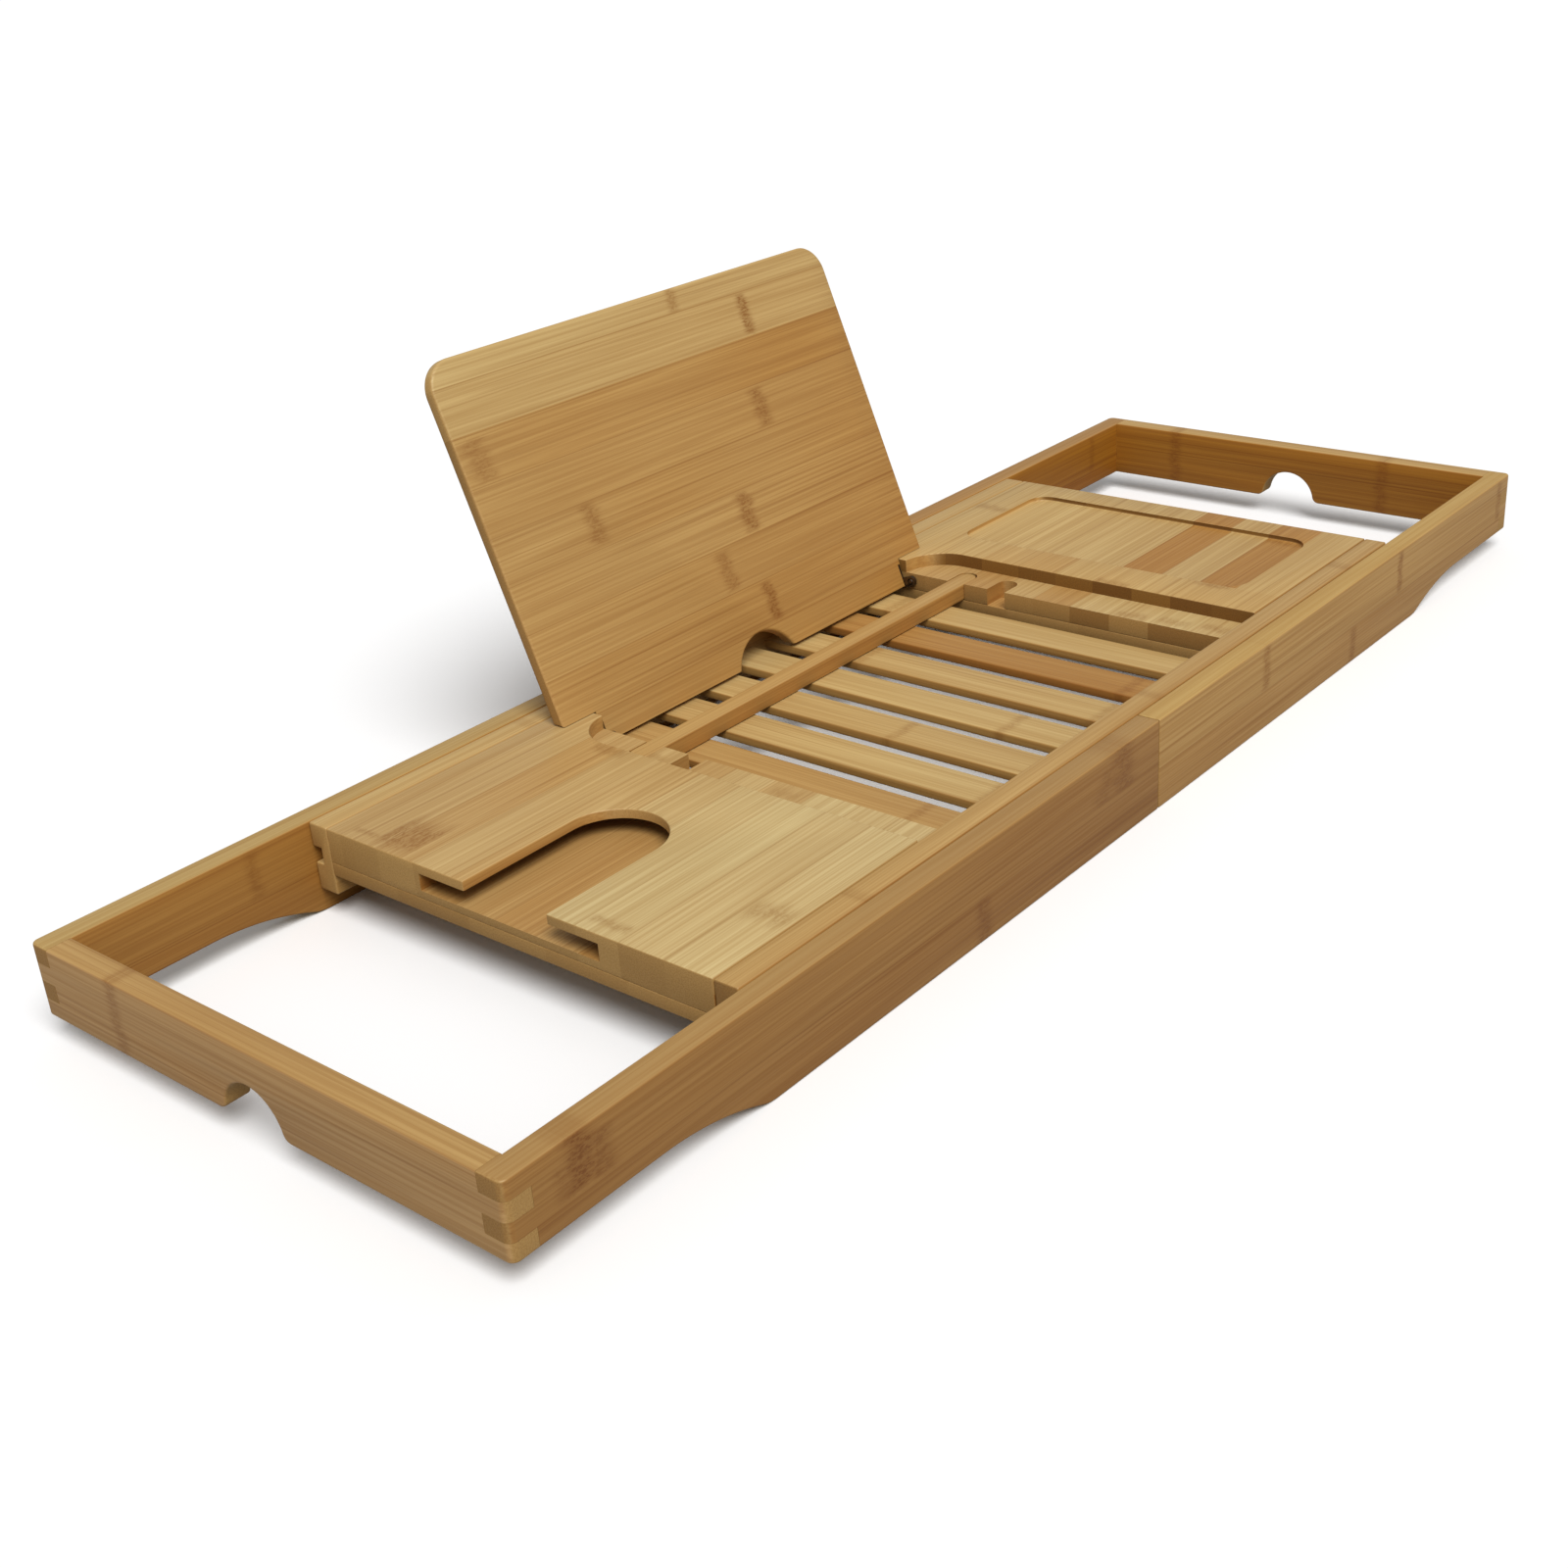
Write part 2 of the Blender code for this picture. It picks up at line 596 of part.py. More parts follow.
def peg_places(start_y):
    """Return the places of the four stop pegs, pointing outwards from the given y."""
    places = []
    for _, side in ENDS:
        x = TRAY_SHIFT + side * (HALF_TRAY - PEG_FROM_RAIL_END)
        places += [along("Y", facing, (x, facing * start_y, GROOVE_Z)) for _, facing in SIDES]
    return places


def build_rails():
    """Build the two grooved rails, with the stop pegs in their grooves and the slats between them."""
    half = HALF_TRAY + CUT_OVERRUN
    rails = []
    for name, facing in SIDES:
        front, back = sorted((facing * RAIL_INNER_Y, facing * RAIL_OUTER_Y))
        rail = add_box(f"{name}_rail", (TRAY_SHIFT - HALF_TRAY, front, TOP_Z - RAIL_HEIGHT),
                       (TRAY_SHIFT + HALF_TRAY, back, TOP_Z), TRAY, BAMBOO_HONEY)
        front, back = sorted((facing * GROOVE_FLOOR_Y, facing * (RAIL_OUTER_Y + CUT_OVERRUN)))
        groove = boxes_mesh("groove", [((TRAY_SHIFT - half, front, GROOVE_Z - GROOVE_HEIGHT / 2),
                                        (TRAY_SHIFT + half, back, GROOVE_Z + GROOVE_HEIGHT / 2))])
        cut(rail, add_cutter(f"{name}_rail_groove", groove))
        rails.append(rail)
    build_slats(rails)
    floor = GROOVE_FLOOR_Y - PEG_SET_DEPTH
    holes = hole_cutter("peg_holes", PEG_DIAMETER / 2 + JOINT_GAP, RAIL_OUTER_Y - floor, peg_places(floor))
    for rail in rails:
        cut(rail, holes)
    profile = pin_profile(PEG_DIAMETER / 2, RAIL_OUTER_Y - floor - 2 * JOINT_GAP, JOINT_GAP)
    add_pins("slide_stop_peg", profile, peg_places(floor + JOINT_GAP), TRAY, BAMBOO_TOAST)


def build_stop():
    """Build the book stop, a bar with round ends in one pair of seats."""
    half = HALF_OPENING + STOP_SEAT_LENGTH - STOP_END_GAP
    bottom = SLAT_Z + JOINT_GAP
    mesh = outline_mesh("book_stop_bar", obround(-half, half, STOP_WIDTH), SHELF_Z - bottom)
    centre = (TRAY_SHIFT, STOP_Y, (bottom + SHELF_Z) / 2)
    add_piece("book_stop_bar", mesh, centre, TRAY, BAMBOO_HONEY, edge=LAYER_ROUND)


def pivot_point():
    """Return the point in YZ about which the rest turns from raised to stored flat in the recess."""
    raised = Vector((REST_FACE_Y + REST_FOOT * math.sin(REST_LEAN), SLAT_Z + JOINT_GAP))
    stored = Vector((RECESS_FAR_Y - REST_STORED_GAP, SHELF_Z + JOINT_GAP))
    chord = stored - raised
    offset = 0.5 / math.tan((math.pi / 2 + REST_LEAN) / 2)
    return (raised + stored) / 2 + offset * Vector((-chord.y, chord.x))


def pivot_on_face():
    """Return the pivot as (distance behind the rest's front face, height up the face)."""
    away = PIVOT - Vector((REST_FACE_Y, TOP_Z))
    back = Vector((math.cos(REST_LEAN), -math.sin(REST_LEAN)))
    up = Vector((math.sin(REST_LEAN), math.cos(REST_LEAN)))
    return away.dot(back), away.dot(up)


def rest_outline():
    """Return the book rest, x across and y up its front face, before its lower edges are cut level."""
    half, r = REST_WIDTH / 2, REST_CORNER
    low = REST_FOOT - CUT_OVERRUN
    centre_y = REST_FOOT + CABLE_DEPTH - CABLE_RADIUS
    swing = math.degrees(math.asin((low - centre_y) / CABLE_RADIUS))
    points = arc((half - r, REST_TOP - r), r, 0, 90) + arc((r - half, REST_TOP - r), r, 90, 180)
    points += [(-half, low)] + arc((0.0, centre_y), CABLE_RADIUS, 180 - swing, swing)
    return points + [(half, low)]


def rest_seat_outline():
    """Return in XZ what is cut away under the book rest: below its foot and below its ears."""
    half, ear = REST_WIDTH / 2, REST_EAR_CORNER
    foot_z, ear_z = SLAT_Z + JOINT_GAP, TOP_Z + JOINT_GAP
    far_x = half + CUT_OVERRUN
    right = [(TONGUE_HALF, foot_z), (TONGUE_HALF, ear_z)]
    right += arc((half - ear, ear_z + ear), ear, 270, 360)
    right += [(far_x, ear_z + ear), (far_x, 0.0)]
    return right + mirrored(right, -1)


def rest_seat_cutter():
    """Return the level cutter under the book rest, long enough in Y for its leaning foot and ears."""
    lean_y = (TOP_Z - SLAT_Z + REST_EAR_CORNER) * math.tan(REST_LEAN)
    half_depth = REST_THICKNESS / math.cos(REST_LEAN) + lean_y + CUT_OVERRUN
    mesh = outline_mesh("rest_seat", rest_seat_outline(), 2 * half_depth)
    return add_cutter("rest_seat", mesh, (TRAY_SHIFT, REST_FACE_Y, 0.0), turn=UPRIGHT)


def lug_outline(eye):
    """Return a lug: an eye at the pivot, and a strap up the middle of the tongue's edge."""
    r, half = LUG_EYE_RADIUS, LUG_STRAP_WIDTH / 2
    middle = REST_THICKNESS / 2
    points = arc(eye, r, 90, 290)
    points += [(middle + half, eye[1])]
    points += arc((middle, -LUG_BELOW_TOP - half), half, 0, 180)
    return points + [(middle - half, eye[1] + r)]


def build_lug(label, side, eye, pin_heights):
    """Build one steel lug, with its bore for the pivot and its two pin holes."""
    mesh = outline_mesh("lug", lug_outline(eye), LUG_THICKNESS)
    x = side * (LUG_INNER_X + LUG_THICKNESS / 2)
    lug = add_piece(f"{label}_pivot_lug", mesh, (x, 0.0, 0.0), LEANING, STEEL, edge=0.0, turn=CROSSWISE)
    start_x = x - LUG_THICKNESS / 2 - CUT_OVERRUN
    depth = LUG_THICKNESS + 2 * CUT_OVERRUN
    bore = hole_cutter(f"{label}_lug_bore", PIVOT_DIAMETER / 2 + JOINT_GAP, depth,
                       [along("X", 1, (start_x, *eye))], LEANING)
    places = [along("X", 1, (start_x, REST_THICKNESS / 2, height)) for height in pin_heights]
    cut(lug, bore, hole_cutter(f"{label}_lug_pin_bores", LUG_PIN_DIAMETER / 2 + JOINT_GAP, depth,
                               places, LEANING))


def build_rest():
    """Build the book rest and the hinge parts that turn with it."""
    middle = REST_THICKNESS / 2
    mesh = outline_mesh("book_rest_panel", rest_outline(), REST_THICKNESS)
    panel = add_piece("book_rest_panel", mesh, (0.0, middle, 0.0), LEANING, BAMBOO_HONEY,
                      edge=REST_EDGE_ROUND, turn=UPRIGHT)
    eye = pivot_on_face()
    heights = [share * eye[1] - (1 - share) * LUG_BELOW_TOP for share in LUG_PIN_PLACE_SHARES]
    outer = LUG_OUTER_X - JOINT_GAP
    length = outer - TONGUE_HALF + LUG_PIN_BITE
    places = [along("X", -side, (side * outer, middle, height)) for height in heights for _, side in ENDS]
    holes = hole_cutter("lug_pin_holes", LUG_PIN_DIAMETER / 2 + JOINT_GAP, length + JOINT_GAP,
                        places, LEANING)
    cut(panel, rest_seat_cutter(), holes)
    for label, side in ENDS:
        build_lug(label, side, eye, heights)
    add_pins("lug_pin", pin_profile(LUG_PIN_DIAMETER / 2, length, JOINT_GAP), places, LEANING, STEEL)


for old in list(bpy.data.objects):
    bpy.data.objects.remove(old, do_unlink=True)
CADDY = new_collection("bath_caddy")
CUTTERS = new_collection("cutters")
PIVOT = pivot_point()
ROOT = Body("caddy", (0.0, 0.0, 0.0))
ROOT.empty.location = (0.0, -CENTRE_Y, 0.0)
TRAY = Body("tray", (TRAY_SHIFT, 0.0, 0.0), ROOT)
LEFT_FRAME = Body("left_frame", (-HALF_LENGTH, 0.0, 0.0), ROOT)
RIGHT_FRAME = Body("right_frame", (HALF_LENGTH, 0.0, 0.0), ROOT)
REST = Body("book_rest", (TRAY_SHIFT, *PIVOT), ROOT)
LEANING = Body("book_rest_face", (TRAY_SHIFT, REST_FACE_Y, TOP_Z), REST)
LEANING.empty.rotation_euler = (-REST_LEAN, 0.0, 0.0)
LEANING.origin = Vector()

BAMBOO_LIGHT = new_material("bamboo_light", (0.56, 0.39, 0.17), 0.45)
BAMBOO_HONEY = new_material("bamboo_honey", (0.48, 0.29, 0.10), 0.45)
BAMBOO_AMBER = new_material("bamboo_amber", (0.46, 0.23, 0.06), 0.45)
BAMBOO_TOAST = new_material("bamboo_toast", (0.33, 0.17, 0.06), 0.5)
STEEL = new_material("dark_steel", (0.16, 0.15, 0.14), 0.4, metallic=1.0)

build_frame("left", -1, LEFT_FRAME)
build_frame("right", 1, RIGHT_FRAME)
build_decks()
build_rails()
build_stop()
build_rest()
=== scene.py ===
"""Looks for the bamboo bath caddy: its boards, its glued strips and its studio.

Each visible board is made again here at its solid's place and size, with a finer outline and softly
rounded edges, and stands for its solid. Lengths are metres.
"""
import logging
import math
from collections.abc import Iterator
from contextlib import contextmanager
from dataclasses import dataclass, field
from enum import Enum

import bmesh
import bpy
from mathutils import Matrix, Quaternion, Vector


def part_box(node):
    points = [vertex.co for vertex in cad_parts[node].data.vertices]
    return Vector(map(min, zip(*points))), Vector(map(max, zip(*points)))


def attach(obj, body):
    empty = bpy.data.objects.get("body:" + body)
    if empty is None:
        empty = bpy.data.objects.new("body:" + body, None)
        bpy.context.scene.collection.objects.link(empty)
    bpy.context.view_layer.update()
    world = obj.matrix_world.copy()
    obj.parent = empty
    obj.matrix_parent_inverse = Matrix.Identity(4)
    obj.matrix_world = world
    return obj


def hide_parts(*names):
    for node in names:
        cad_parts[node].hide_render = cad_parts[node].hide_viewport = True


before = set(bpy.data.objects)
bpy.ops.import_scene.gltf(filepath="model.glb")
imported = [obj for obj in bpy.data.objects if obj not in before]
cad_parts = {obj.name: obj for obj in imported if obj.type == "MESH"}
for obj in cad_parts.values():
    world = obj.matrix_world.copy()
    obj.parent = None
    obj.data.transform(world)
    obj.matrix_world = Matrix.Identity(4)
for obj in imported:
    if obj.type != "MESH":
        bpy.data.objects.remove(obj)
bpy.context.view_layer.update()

LOG = logging.getLogger("bath_caddy")
MERGE_DISTANCE = 0.00001
SEAM_GAP = 0.0003
DRILL_ROOM = 0.0002
OVERRUN = 0.004
BEYOND = 1.0
ROUNDED_ANGLE = math.radians(35.0)
SHADED_ANGLE = math.radians(32.0)
FACING_RANGE = (0.5, 0.9)
LEAD_ANGLE = 4.0

Point = tuple[float, float]
Tint = tuple[float, float, float]
Place = tuple[Vector, Vector]
Outline = list[Point]

UNTINTED: Tint = (1.0, 1.0, 1.0)


class Grain(Enum):
    """How a board's fibres lie: the axes along them, across the strips and through the board."""

    DECK = (0, 1, 2)
    RAIL = (0, 2, 1)
    END = (1, 2, 0)
    SLAT = (1, 0, 2)


class Side(Enum):
    """An end of the caddy, as the sign of X."""

    LEFT = -1
    RIGHT = 1

    @property
    def label(self) -> str:
        """Return the word that starts the names of this end's pieces."""
        return self.name.lower()


# Node helpers


class NodeTree:
    """A thin wrapper that adds, feeds and links nodes in one tree."""

    def __init__(self, tree: bpy.types.NodeTree) -> None:
        """Wrap the tree of a material, a world or a group."""
        self.tree = tree

    def add(self, kind: str, fed: dict[str | int, object] | None = None,
            **settings: object) -> bpy.types.Node:
        """Add a node and feed it.

        Args:
            kind: the node's type.
            fed: what its inputs get, as in feed.
            settings: attributes to set on it first.

        Returns:
            The node.
        """
        node = self.tree.nodes.new(kind)
        for name, value in settings.items():
            setattr(node, name, value)
        self.feed(node, fed or {})
        return node

    def feed(self, node: bpy.types.Node, fed: dict[str | int, object]) -> None:
        """Set a node's inputs, or link them where the value is another node's output.

        Args:
            node: the node that is fed.
            fed: a plain value or an output socket for each input's name or place.
        """
        for socket, value in fed.items():
            if isinstance(value, bpy.types.NodeSocket):
                self.tree.links.new(value, node.inputs[socket])
            else:
                node.inputs[socket].default_value = value

    def group(self, name: str, fed: dict[str | int, object]) -> bpy.types.NodeOutputs:
        """Place a shared shader group, feed it and return its outputs."""
        return self.add("ShaderNodeGroup", fed, node_tree=bpy.data.node_groups[name]).outputs

    def math(self, operation: str, first: object, second: object = 0.0, clamp: bool = False) -> object:
        """Add a Math node.

        Args:
            operation: Blender's name of the operation.
            first: the first operand.
            second: the second operand.
            clamp: whether the result is held between 0 and 1.

        Returns:
            The result's socket.
        """
        return self.add("ShaderNodeMath", {0: first, 1: second}, operation=operation,
                        use_clamp=clamp).outputs[0]

    def plus(self, first: object, second: object, clamp: bool = False) -> object:
        """Return the sum of two values."""
        return self.math("ADD", first, second, clamp)

    def minus(self, first: object, second: object) -> object:
        """Return the first value less the second."""
        return self.math("SUBTRACT", first, second)

    def times(self, first: object, second: object, clamp: bool = False) -> object:
        """Return the product of two values."""
        return self.math("MULTIPLY", first, second, clamp)

    def divided(self, first: object, second: object, clamp: bool = False) -> object:
        """Return the first value over the second."""
        return self.math("DIVIDE", first, second, clamp)

    def ramp(self, value: object, low: float, high: float) -> object:
        """Map a value smoothly from 0 at low to 1 at high and return the result's socket."""
        return self.add("ShaderNodeMapRange", {0: value, 1: low, 2: high},
                        interpolation_type="SMOOTHSTEP").outputs[0]

    def fall(self, value: object, low: float, high: float) -> object:
        """Map a value smoothly from 1 at low to 0 at high and return the result's socket."""
        return self.minus(1.0, self.ramp(value, low, high))

    def mix(self, share: object, first: object, second: object, blend: str = "MIX") -> object:
        """Mix two colours.

        Args:
            share: how much of the second is used.
            first: the first colour.
            second: the second colour.
            blend: the way they are mixed.

        Returns:
            The colour's socket.
        """
        # Inputs 6 and 7 and output 2 are this node's sockets for colours.
        return self.add("ShaderNodeMix", {0: share, 6: first, 7: second}, data_type="RGBA",
                        blend_type=blend).outputs[2]

    def shaded(self, colour: object, shade: Tint) -> object:
        """Return a colour times a shade."""
        return self.mix(1.0, colour, (*shade, 1.0), "MULTIPLY")

    def noise(self, vector: object, detail: float = 2.0, roughness: float = 0.5) -> object:
        """Add a noise texture of scale 1.

        Args:
            vector: the coordinates, already scaled.
            detail: how many octaves it has.
            roughness: how strong the fine octaves are.

        Returns:
            The noise's value socket, around 0.5.
        """
        return self.add("ShaderNodeTexNoise", {
            "Vector": vector, "Scale": 1.0, "Detail": detail, "Roughness": roughness}).outputs[0]

    def combine(self, x: object, y: object, z: object) -> object:
        """Join three values in a vector and return its socket."""
        return self.add("ShaderNodeCombineXYZ", {0: x, 1: y, 2: z}).outputs[0]


def new_material(name: str) -> tuple[bpy.types.Material, NodeTree, bpy.types.Node]:
    """Make a material and return it with its tree and its shader.

    Args:
        name: the material's name.

    Returns:
        The material, its tree and its shader.
    """
    material = bpy.data.materials.new(name)
    material.use_nodes = True
    return material, NodeTree(material.node_tree), material.node_tree.nodes["Principled BSDF"]


def new_group(name: str, inputs: dict[str, float],
              outputs: tuple[str, ...]) -> tuple[NodeTree, dict[str, object], bpy.types.Node]:
    """Make a shader node group that takes and gives values.

    Args:
        name: the group's name.
        inputs: each input's default value.
        outputs: the outputs' names.

    Returns:
        The group's tree, its inputs' sockets by name, and the node that its outputs are fed to.
    """
    group = bpy.data.node_groups.new(name, "ShaderNodeTree")
    for title, value in inputs.items():
        socket = group.interface.new_socket(name=title, in_out="INPUT", socket_type="NodeSocketFloat")
        socket.default_value = value
    for title in outputs:
        group.interface.new_socket(name=title, in_out="OUTPUT", socket_type="NodeSocketFloat")
    net = NodeTree(group)
    given = net.add("NodeGroupInput").outputs
    return net, {title: given[title] for title in inputs}, net.add("NodeGroupOutput")


def build_strip_group() -> None:
    """Build the group that parts a board in glued strips.

    It gives a seed of its own for each strip and a mask of the glue lines.
    """
    net, given, result = new_group(
        "glued_strips", {"Across": 0.0, "First Edge": 0.0, "Strip Width": 0.02, "Seed": 0.0},
        ("Strip Seed", "Glue Line"))
    place = net.divided(net.minus(given["Across"], given["First Edge"]), given["Strip Width"])
    chance = net.add("ShaderNodeTexWhiteNoise", {
        "Vector": net.combine(net.math("FLOOR", place), given["Seed"], 0.0)}, noise_dimensions="2D")
    edge = net.times(net.math("PINGPONG", place, 0.5), given["Strip Width"])
    net.feed(result, {"Strip Seed": net.times(chance.outputs["Value"], 97.0),
                      "Glue Line": net.fall(edge, 0.00008, 0.00035)})


def build_fibre_group() -> None:
    """Build the group of the fine fibre streaks along a strip.

    It gives broad and fine streaks, sparse dark lines, a slow drift of the tone and a height for
    the bump.
    """
    net, given, result = new_group(
        "bamboo_fibres", {"Along": 0.0, "Across": 0.0, "Through": 0.0, "Seed": 0.0},
        ("Broad", "Fine", "Lines", "Drift", "Height"))

    def streaks(per_metre_along: float, per_metre_across: float, detail: float) -> object:
        """Return streak noise that is long along the grain and narrow across it.

        Args:
            per_metre_along: the noise's scale along the grain.
            per_metre_across: its scale across the grain.
            detail: how many octaves it has.

        Returns:
            The noise's value socket.
        """
        return net.noise(net.combine(net.plus(net.times(given["Along"], per_metre_along), given["Seed"]),
                                     net.times(given["Across"], per_metre_across),
                                     net.times(given["Through"], per_metre_across)), detail, 0.55)

    fine = streaks(9.0, 950.0, 3.0)
    drift = net.noise(net.combine(net.times(given["Along"], 7.0), given["Seed"], 0.0), 1.0)
    net.feed(result, {"Broad": net.ramp(streaks(6.0, 260.0, 2.0), 0.3, 0.7),
                      "Fine": net.ramp(fine, 0.36, 0.64),
                      "Lines": net.ramp(streaks(3.0, 620.0, 1.0), 0.60, 0.70),
                      "Drift": net.minus(drift, 0.5), "Height": fine})


def build_mark_group() -> None:
    """Build the group of one culm node, a ragged brown bar across a strip, which gives its mask."""
    net, given, result = new_group(
        "culm_node", {"Along": 0.0, "Across": 0.0, "Place Along": 0.0, "Place Across": 0.0,
                      "Width": 0.005, "Height": 0.02, "Strength": 1.0}, ("Mask",))

    def specks(along: str, per_metre_along: float, per_metre_across: float, seed: float,
               detail: float = 2.0, roughness: float = 0.5) -> object:
        """Return noise over an input along the grain and the distance across it."""
        return net.noise(net.combine(net.times(given[along], per_metre_along),
                                     net.times(given["Across"], per_metre_across), seed), detail, roughness)

    def moved(value: object, specks_here: object, reach: float) -> object:
        """Return a value moved by noise to either side."""
        return net.plus(value, net.times(net.minus(specks_here, 0.5), reach))

    flecks = specks("Along", 420.0, 1100.0, 0.7, 3.0, 0.7)
    wide = net.divided(net.minus(given["Along"], given["Place Along"]), given["Width"])
    wide = moved(wide, specks("Place Along", 97.0, 150.0, 3.1), 1.4)
    wide = net.math("ABSOLUTE", moved(wide, specks("Along", 90.0, 1300.0, 8.4), 1.6))
    halo = net.times(net.fall(wide, 0.35, 1.35), 0.5)
    dashes = net.times(net.fall(wide, 0.25, 0.85), net.times(net.ramp(flecks, 0.44, 0.58), 0.6))
    across = net.math("ABSOLUTE", net.minus(given["Across"], given["Place Across"]))
    tall = moved(net.divided(across, given["Height"]), flecks, 0.25)
    mask = net.times(net.plus(halo, dashes), net.fall(tall, 0.40, 0.52))
    net.feed(result, {"Mask": net.times(mask, given["Strength"], clamp=True)})


def build_end_grain_group() -> None:
    """Build the group of the dotted end grain, where the fibres are cut across.

    It gives a mask of the cut ends and one of the fibre dots.
    """
    net, given, result = new_group(
        "end_grain", {"Facing": 0.0, "Across": 0.0, "Through": 0.0}, ("Cut", "Dots"))
    dots_per_metre = 1800.0
    dots = net.noise(net.combine(net.times(given["Across"], dots_per_metre),
                                 net.times(given["Through"], dots_per_metre), 0.0), 2.0, 0.6)
    net.feed(result, {"Cut": net.ramp(given["Facing"], 0.55, 0.9), "Dots": net.ramp(dots, 0.42, 0.62)})


@dataclass(frozen=True)
class NodeMark:
    """The place of a culm node in its board's grain frame, and how it looks."""

    along: float
    across: float
    height: float
    width: float
    strength: float


@dataclass(frozen=True)
class BambooFinish:
    """Varnished bamboo for one board.

    The colours are linear. Each strip lies between the pale and the deep colour by its tone, and
    the strips are counted across the grain from first_edge. Beyond far_from along the grain,
    where another layer of bamboo shows, the strips take their tones from far_tones. The tints on
    the faces that look one way are painted light and shade, and the edge tint is partly the side
    faces' own colour too.
    """

    name: str
    grain: Grain
    tones: tuple[float, ...]
    strip_width: float
    first_edge: float
    end_tones: tuple[float, ...] = ()
    pale: Tint = (0.60, 0.425, 0.175)
    deep: Tint = (0.455, 0.235, 0.062)
    marks: tuple[NodeMark, ...] = ()
    seed: float = 0.0
    centre: tuple[float, float, float] = (0.0, 0.0, 0.0)
    lean: float = 0.0
    drift: float = 0.45
    fade: float = 0.0
    far_tones: tuple[float, ...] = ()
    far_from: float = 0.0
    glue: float = 0.45
    roughness: float = 0.44
    # Tint on the faces that look across the strips: partly the side faces' own colour and partly painted
    # shade on them, with painted light on some side boards' tops.
    edge: Tint = (0.86, 0.70, 0.50)
    # Painted shade on the faces that look down and up the through axis.
    low_face: Tint = UNTINTED
    high_face: Tint = UNTINTED
    # Painted shade on the cut ends that look down the grain's axis.
    low_end: Tint = UNTINTED
    end_pale: Tint = (0.516, 0.315, 0.105)
    end_deep: Tint = (0.336, 0.179, 0.049)
    fibre_shade: Tint = (0.64, 0.51, 0.36)
    node_shade: Tint = (0.50, 0.34, 0.20)
    dot_shade: Tint = (0.55, 0.42, 0.30)
    broad_share: float = 0.32
    fine_share: float = 0.46
    line_share: float = 0.35
    dot_share: float = 0.35
    fibre_roughness: float = 0.10
    end_roughness: float = 0.16
    bump_strength: float = 0.12
    bump_height: float = 0.0003
    specular: float = 0.35

    def material(self) -> bpy.types.Material:
        """Build the material.

        Returns:
            A material that reads the object coordinates only.
        """
        material, net, shader = new_material(self.name)
        (along, across, through), faces = self._grain_frame(net)
        strips = net.group("glued_strips", {
            "Across": across, "First Edge": self.first_edge, "Strip Width": self.strip_width,
            "Seed": self.seed})
        fibres = net.group("bamboo_fibres", {
            "Along": along, "Across": across, "Through": through, "Seed": strips["Strip Seed"]})
        ends = net.group("end_grain", {
            "Facing": net.math("ABSOLUTE", faces[0]), "Across": across, "Through": through})
        colour = self._strip_colour(net, along, across, faces, fibres["Drift"])
        dark, brown = net.shaded(colour, self.fibre_shade), net.shaded(colour, self.node_shade)
        for title, share, shade in (("Broad", self.broad_share, dark), ("Fine", self.fine_share, dark),
                                    ("Lines", self.line_share, brown)):
            colour = net.mix(net.times(fibres[title], share), colour, shade)
        if self.marks:
            colour = net.mix(self._marks(net, along, across), colour, brown)
        colour = net.mix(net.times(strips["Glue Line"], self.glue), colour, brown)
        rough = net.plus(net.times(fibres["Fine"], self.fibre_roughness), self.roughness)
        bump = net.add("ShaderNodeBump", {
            "Strength": self.bump_strength, "Distance": self.bump_height, "Height": fibres["Height"]})
        net.feed(shader, {
            "Base Color": net.mix(ends["Cut"], colour, self._end_colour(net, across, faces, ends["Dots"])),
            "Roughness": net.plus(rough, net.times(ends["Cut"], self.end_roughness)),
            "Normal": bump.outputs[0], "Specular IOR Level": self.specular})
        return material

    def _strip_colour(self, net: NodeTree, along: object, across: object, faces: list[object],
                      drift: object) -> object:
        """Return the colour of the strips, with painted light and shade on the faces that look one way,
        before their streaks and culm nodes.

        Args:
            net: the material's tree.
            along: the distance along the grain.
            across: the distance across it.
            faces: the normal's parts along, across and through the grain.
            drift: the slow change of a strip's tone.

        Returns:
            The colour's socket.
        """
        tone = self._strip_value(net, across, self.tones)
        if self.far_tones:
            tone = net.mix(net.math("GREATER_THAN", along, self.far_from), tone,
                           self._strip_value(net, across, self.far_tones))
        tone = net.plus(tone, net.times(drift, self.drift))
        tone = net.plus(tone, net.times(along, self.fade), clamp=True)
        colour = net.mix(tone, (*self.pale, 1.0), (*self.deep, 1.0))
        # The edge tint is partly the side faces' own colour and partly painted light and shade; the two
        # face tints after it are painted shade on the faces that look down and up the through axis.
        colour = self._tinted(net, colour, net.math("ABSOLUTE", faces[1]), self.edge)
        colour = self._tinted(net, colour, net.times(faces[2], -1.0), self.low_face)
        return self._tinted(net, colour, faces[2], self.high_face)

    def _end_colour(self, net: NodeTree, across: object, faces: list[object], dots: object) -> object:
        """Return the colour of the cut ends, with painted shade on those that look down the grain's axis.

        Args:
            net: the material's tree.
            across: the distance across the grain.
            faces: the normal's parts along, across and through the grain.
            dots: the mask of the fibre dots.

        Returns:
            The colour's socket.
        """
        colour = net.mix(self._strip_value(net, across, self.end_tones or self.tones),
                         (*self.end_pale, 1.0), (*self.end_deep, 1.0))
        colour = net.mix(net.times(dots, self.dot_share), colour, net.shaded(colour, self.dot_shade))
        # Painted shade on the cut ends that look down the grain's axis.
        return self._tinted(net, colour, net.times(faces[0], -1.0), self.low_end)

    @staticmethod
    def _tinted(net: NodeTree, colour: object, facing: object, tint: Tint) -> object:
        """Return a colour with a tint on the faces that look one way, which paints light and shade there,
        and for some tints the faces' own colour too.

        Args:
            net: the material's tree.
            colour: the colour's socket.
            facing: how far a face looks that way.
            tint: the factor of the colour there.

        Returns:
            The colour's socket.
        """
        if tint == UNTINTED:
            return colour
        return net.mix(net.ramp(facing, *FACING_RANGE), colour, net.shaded(colour, tint))

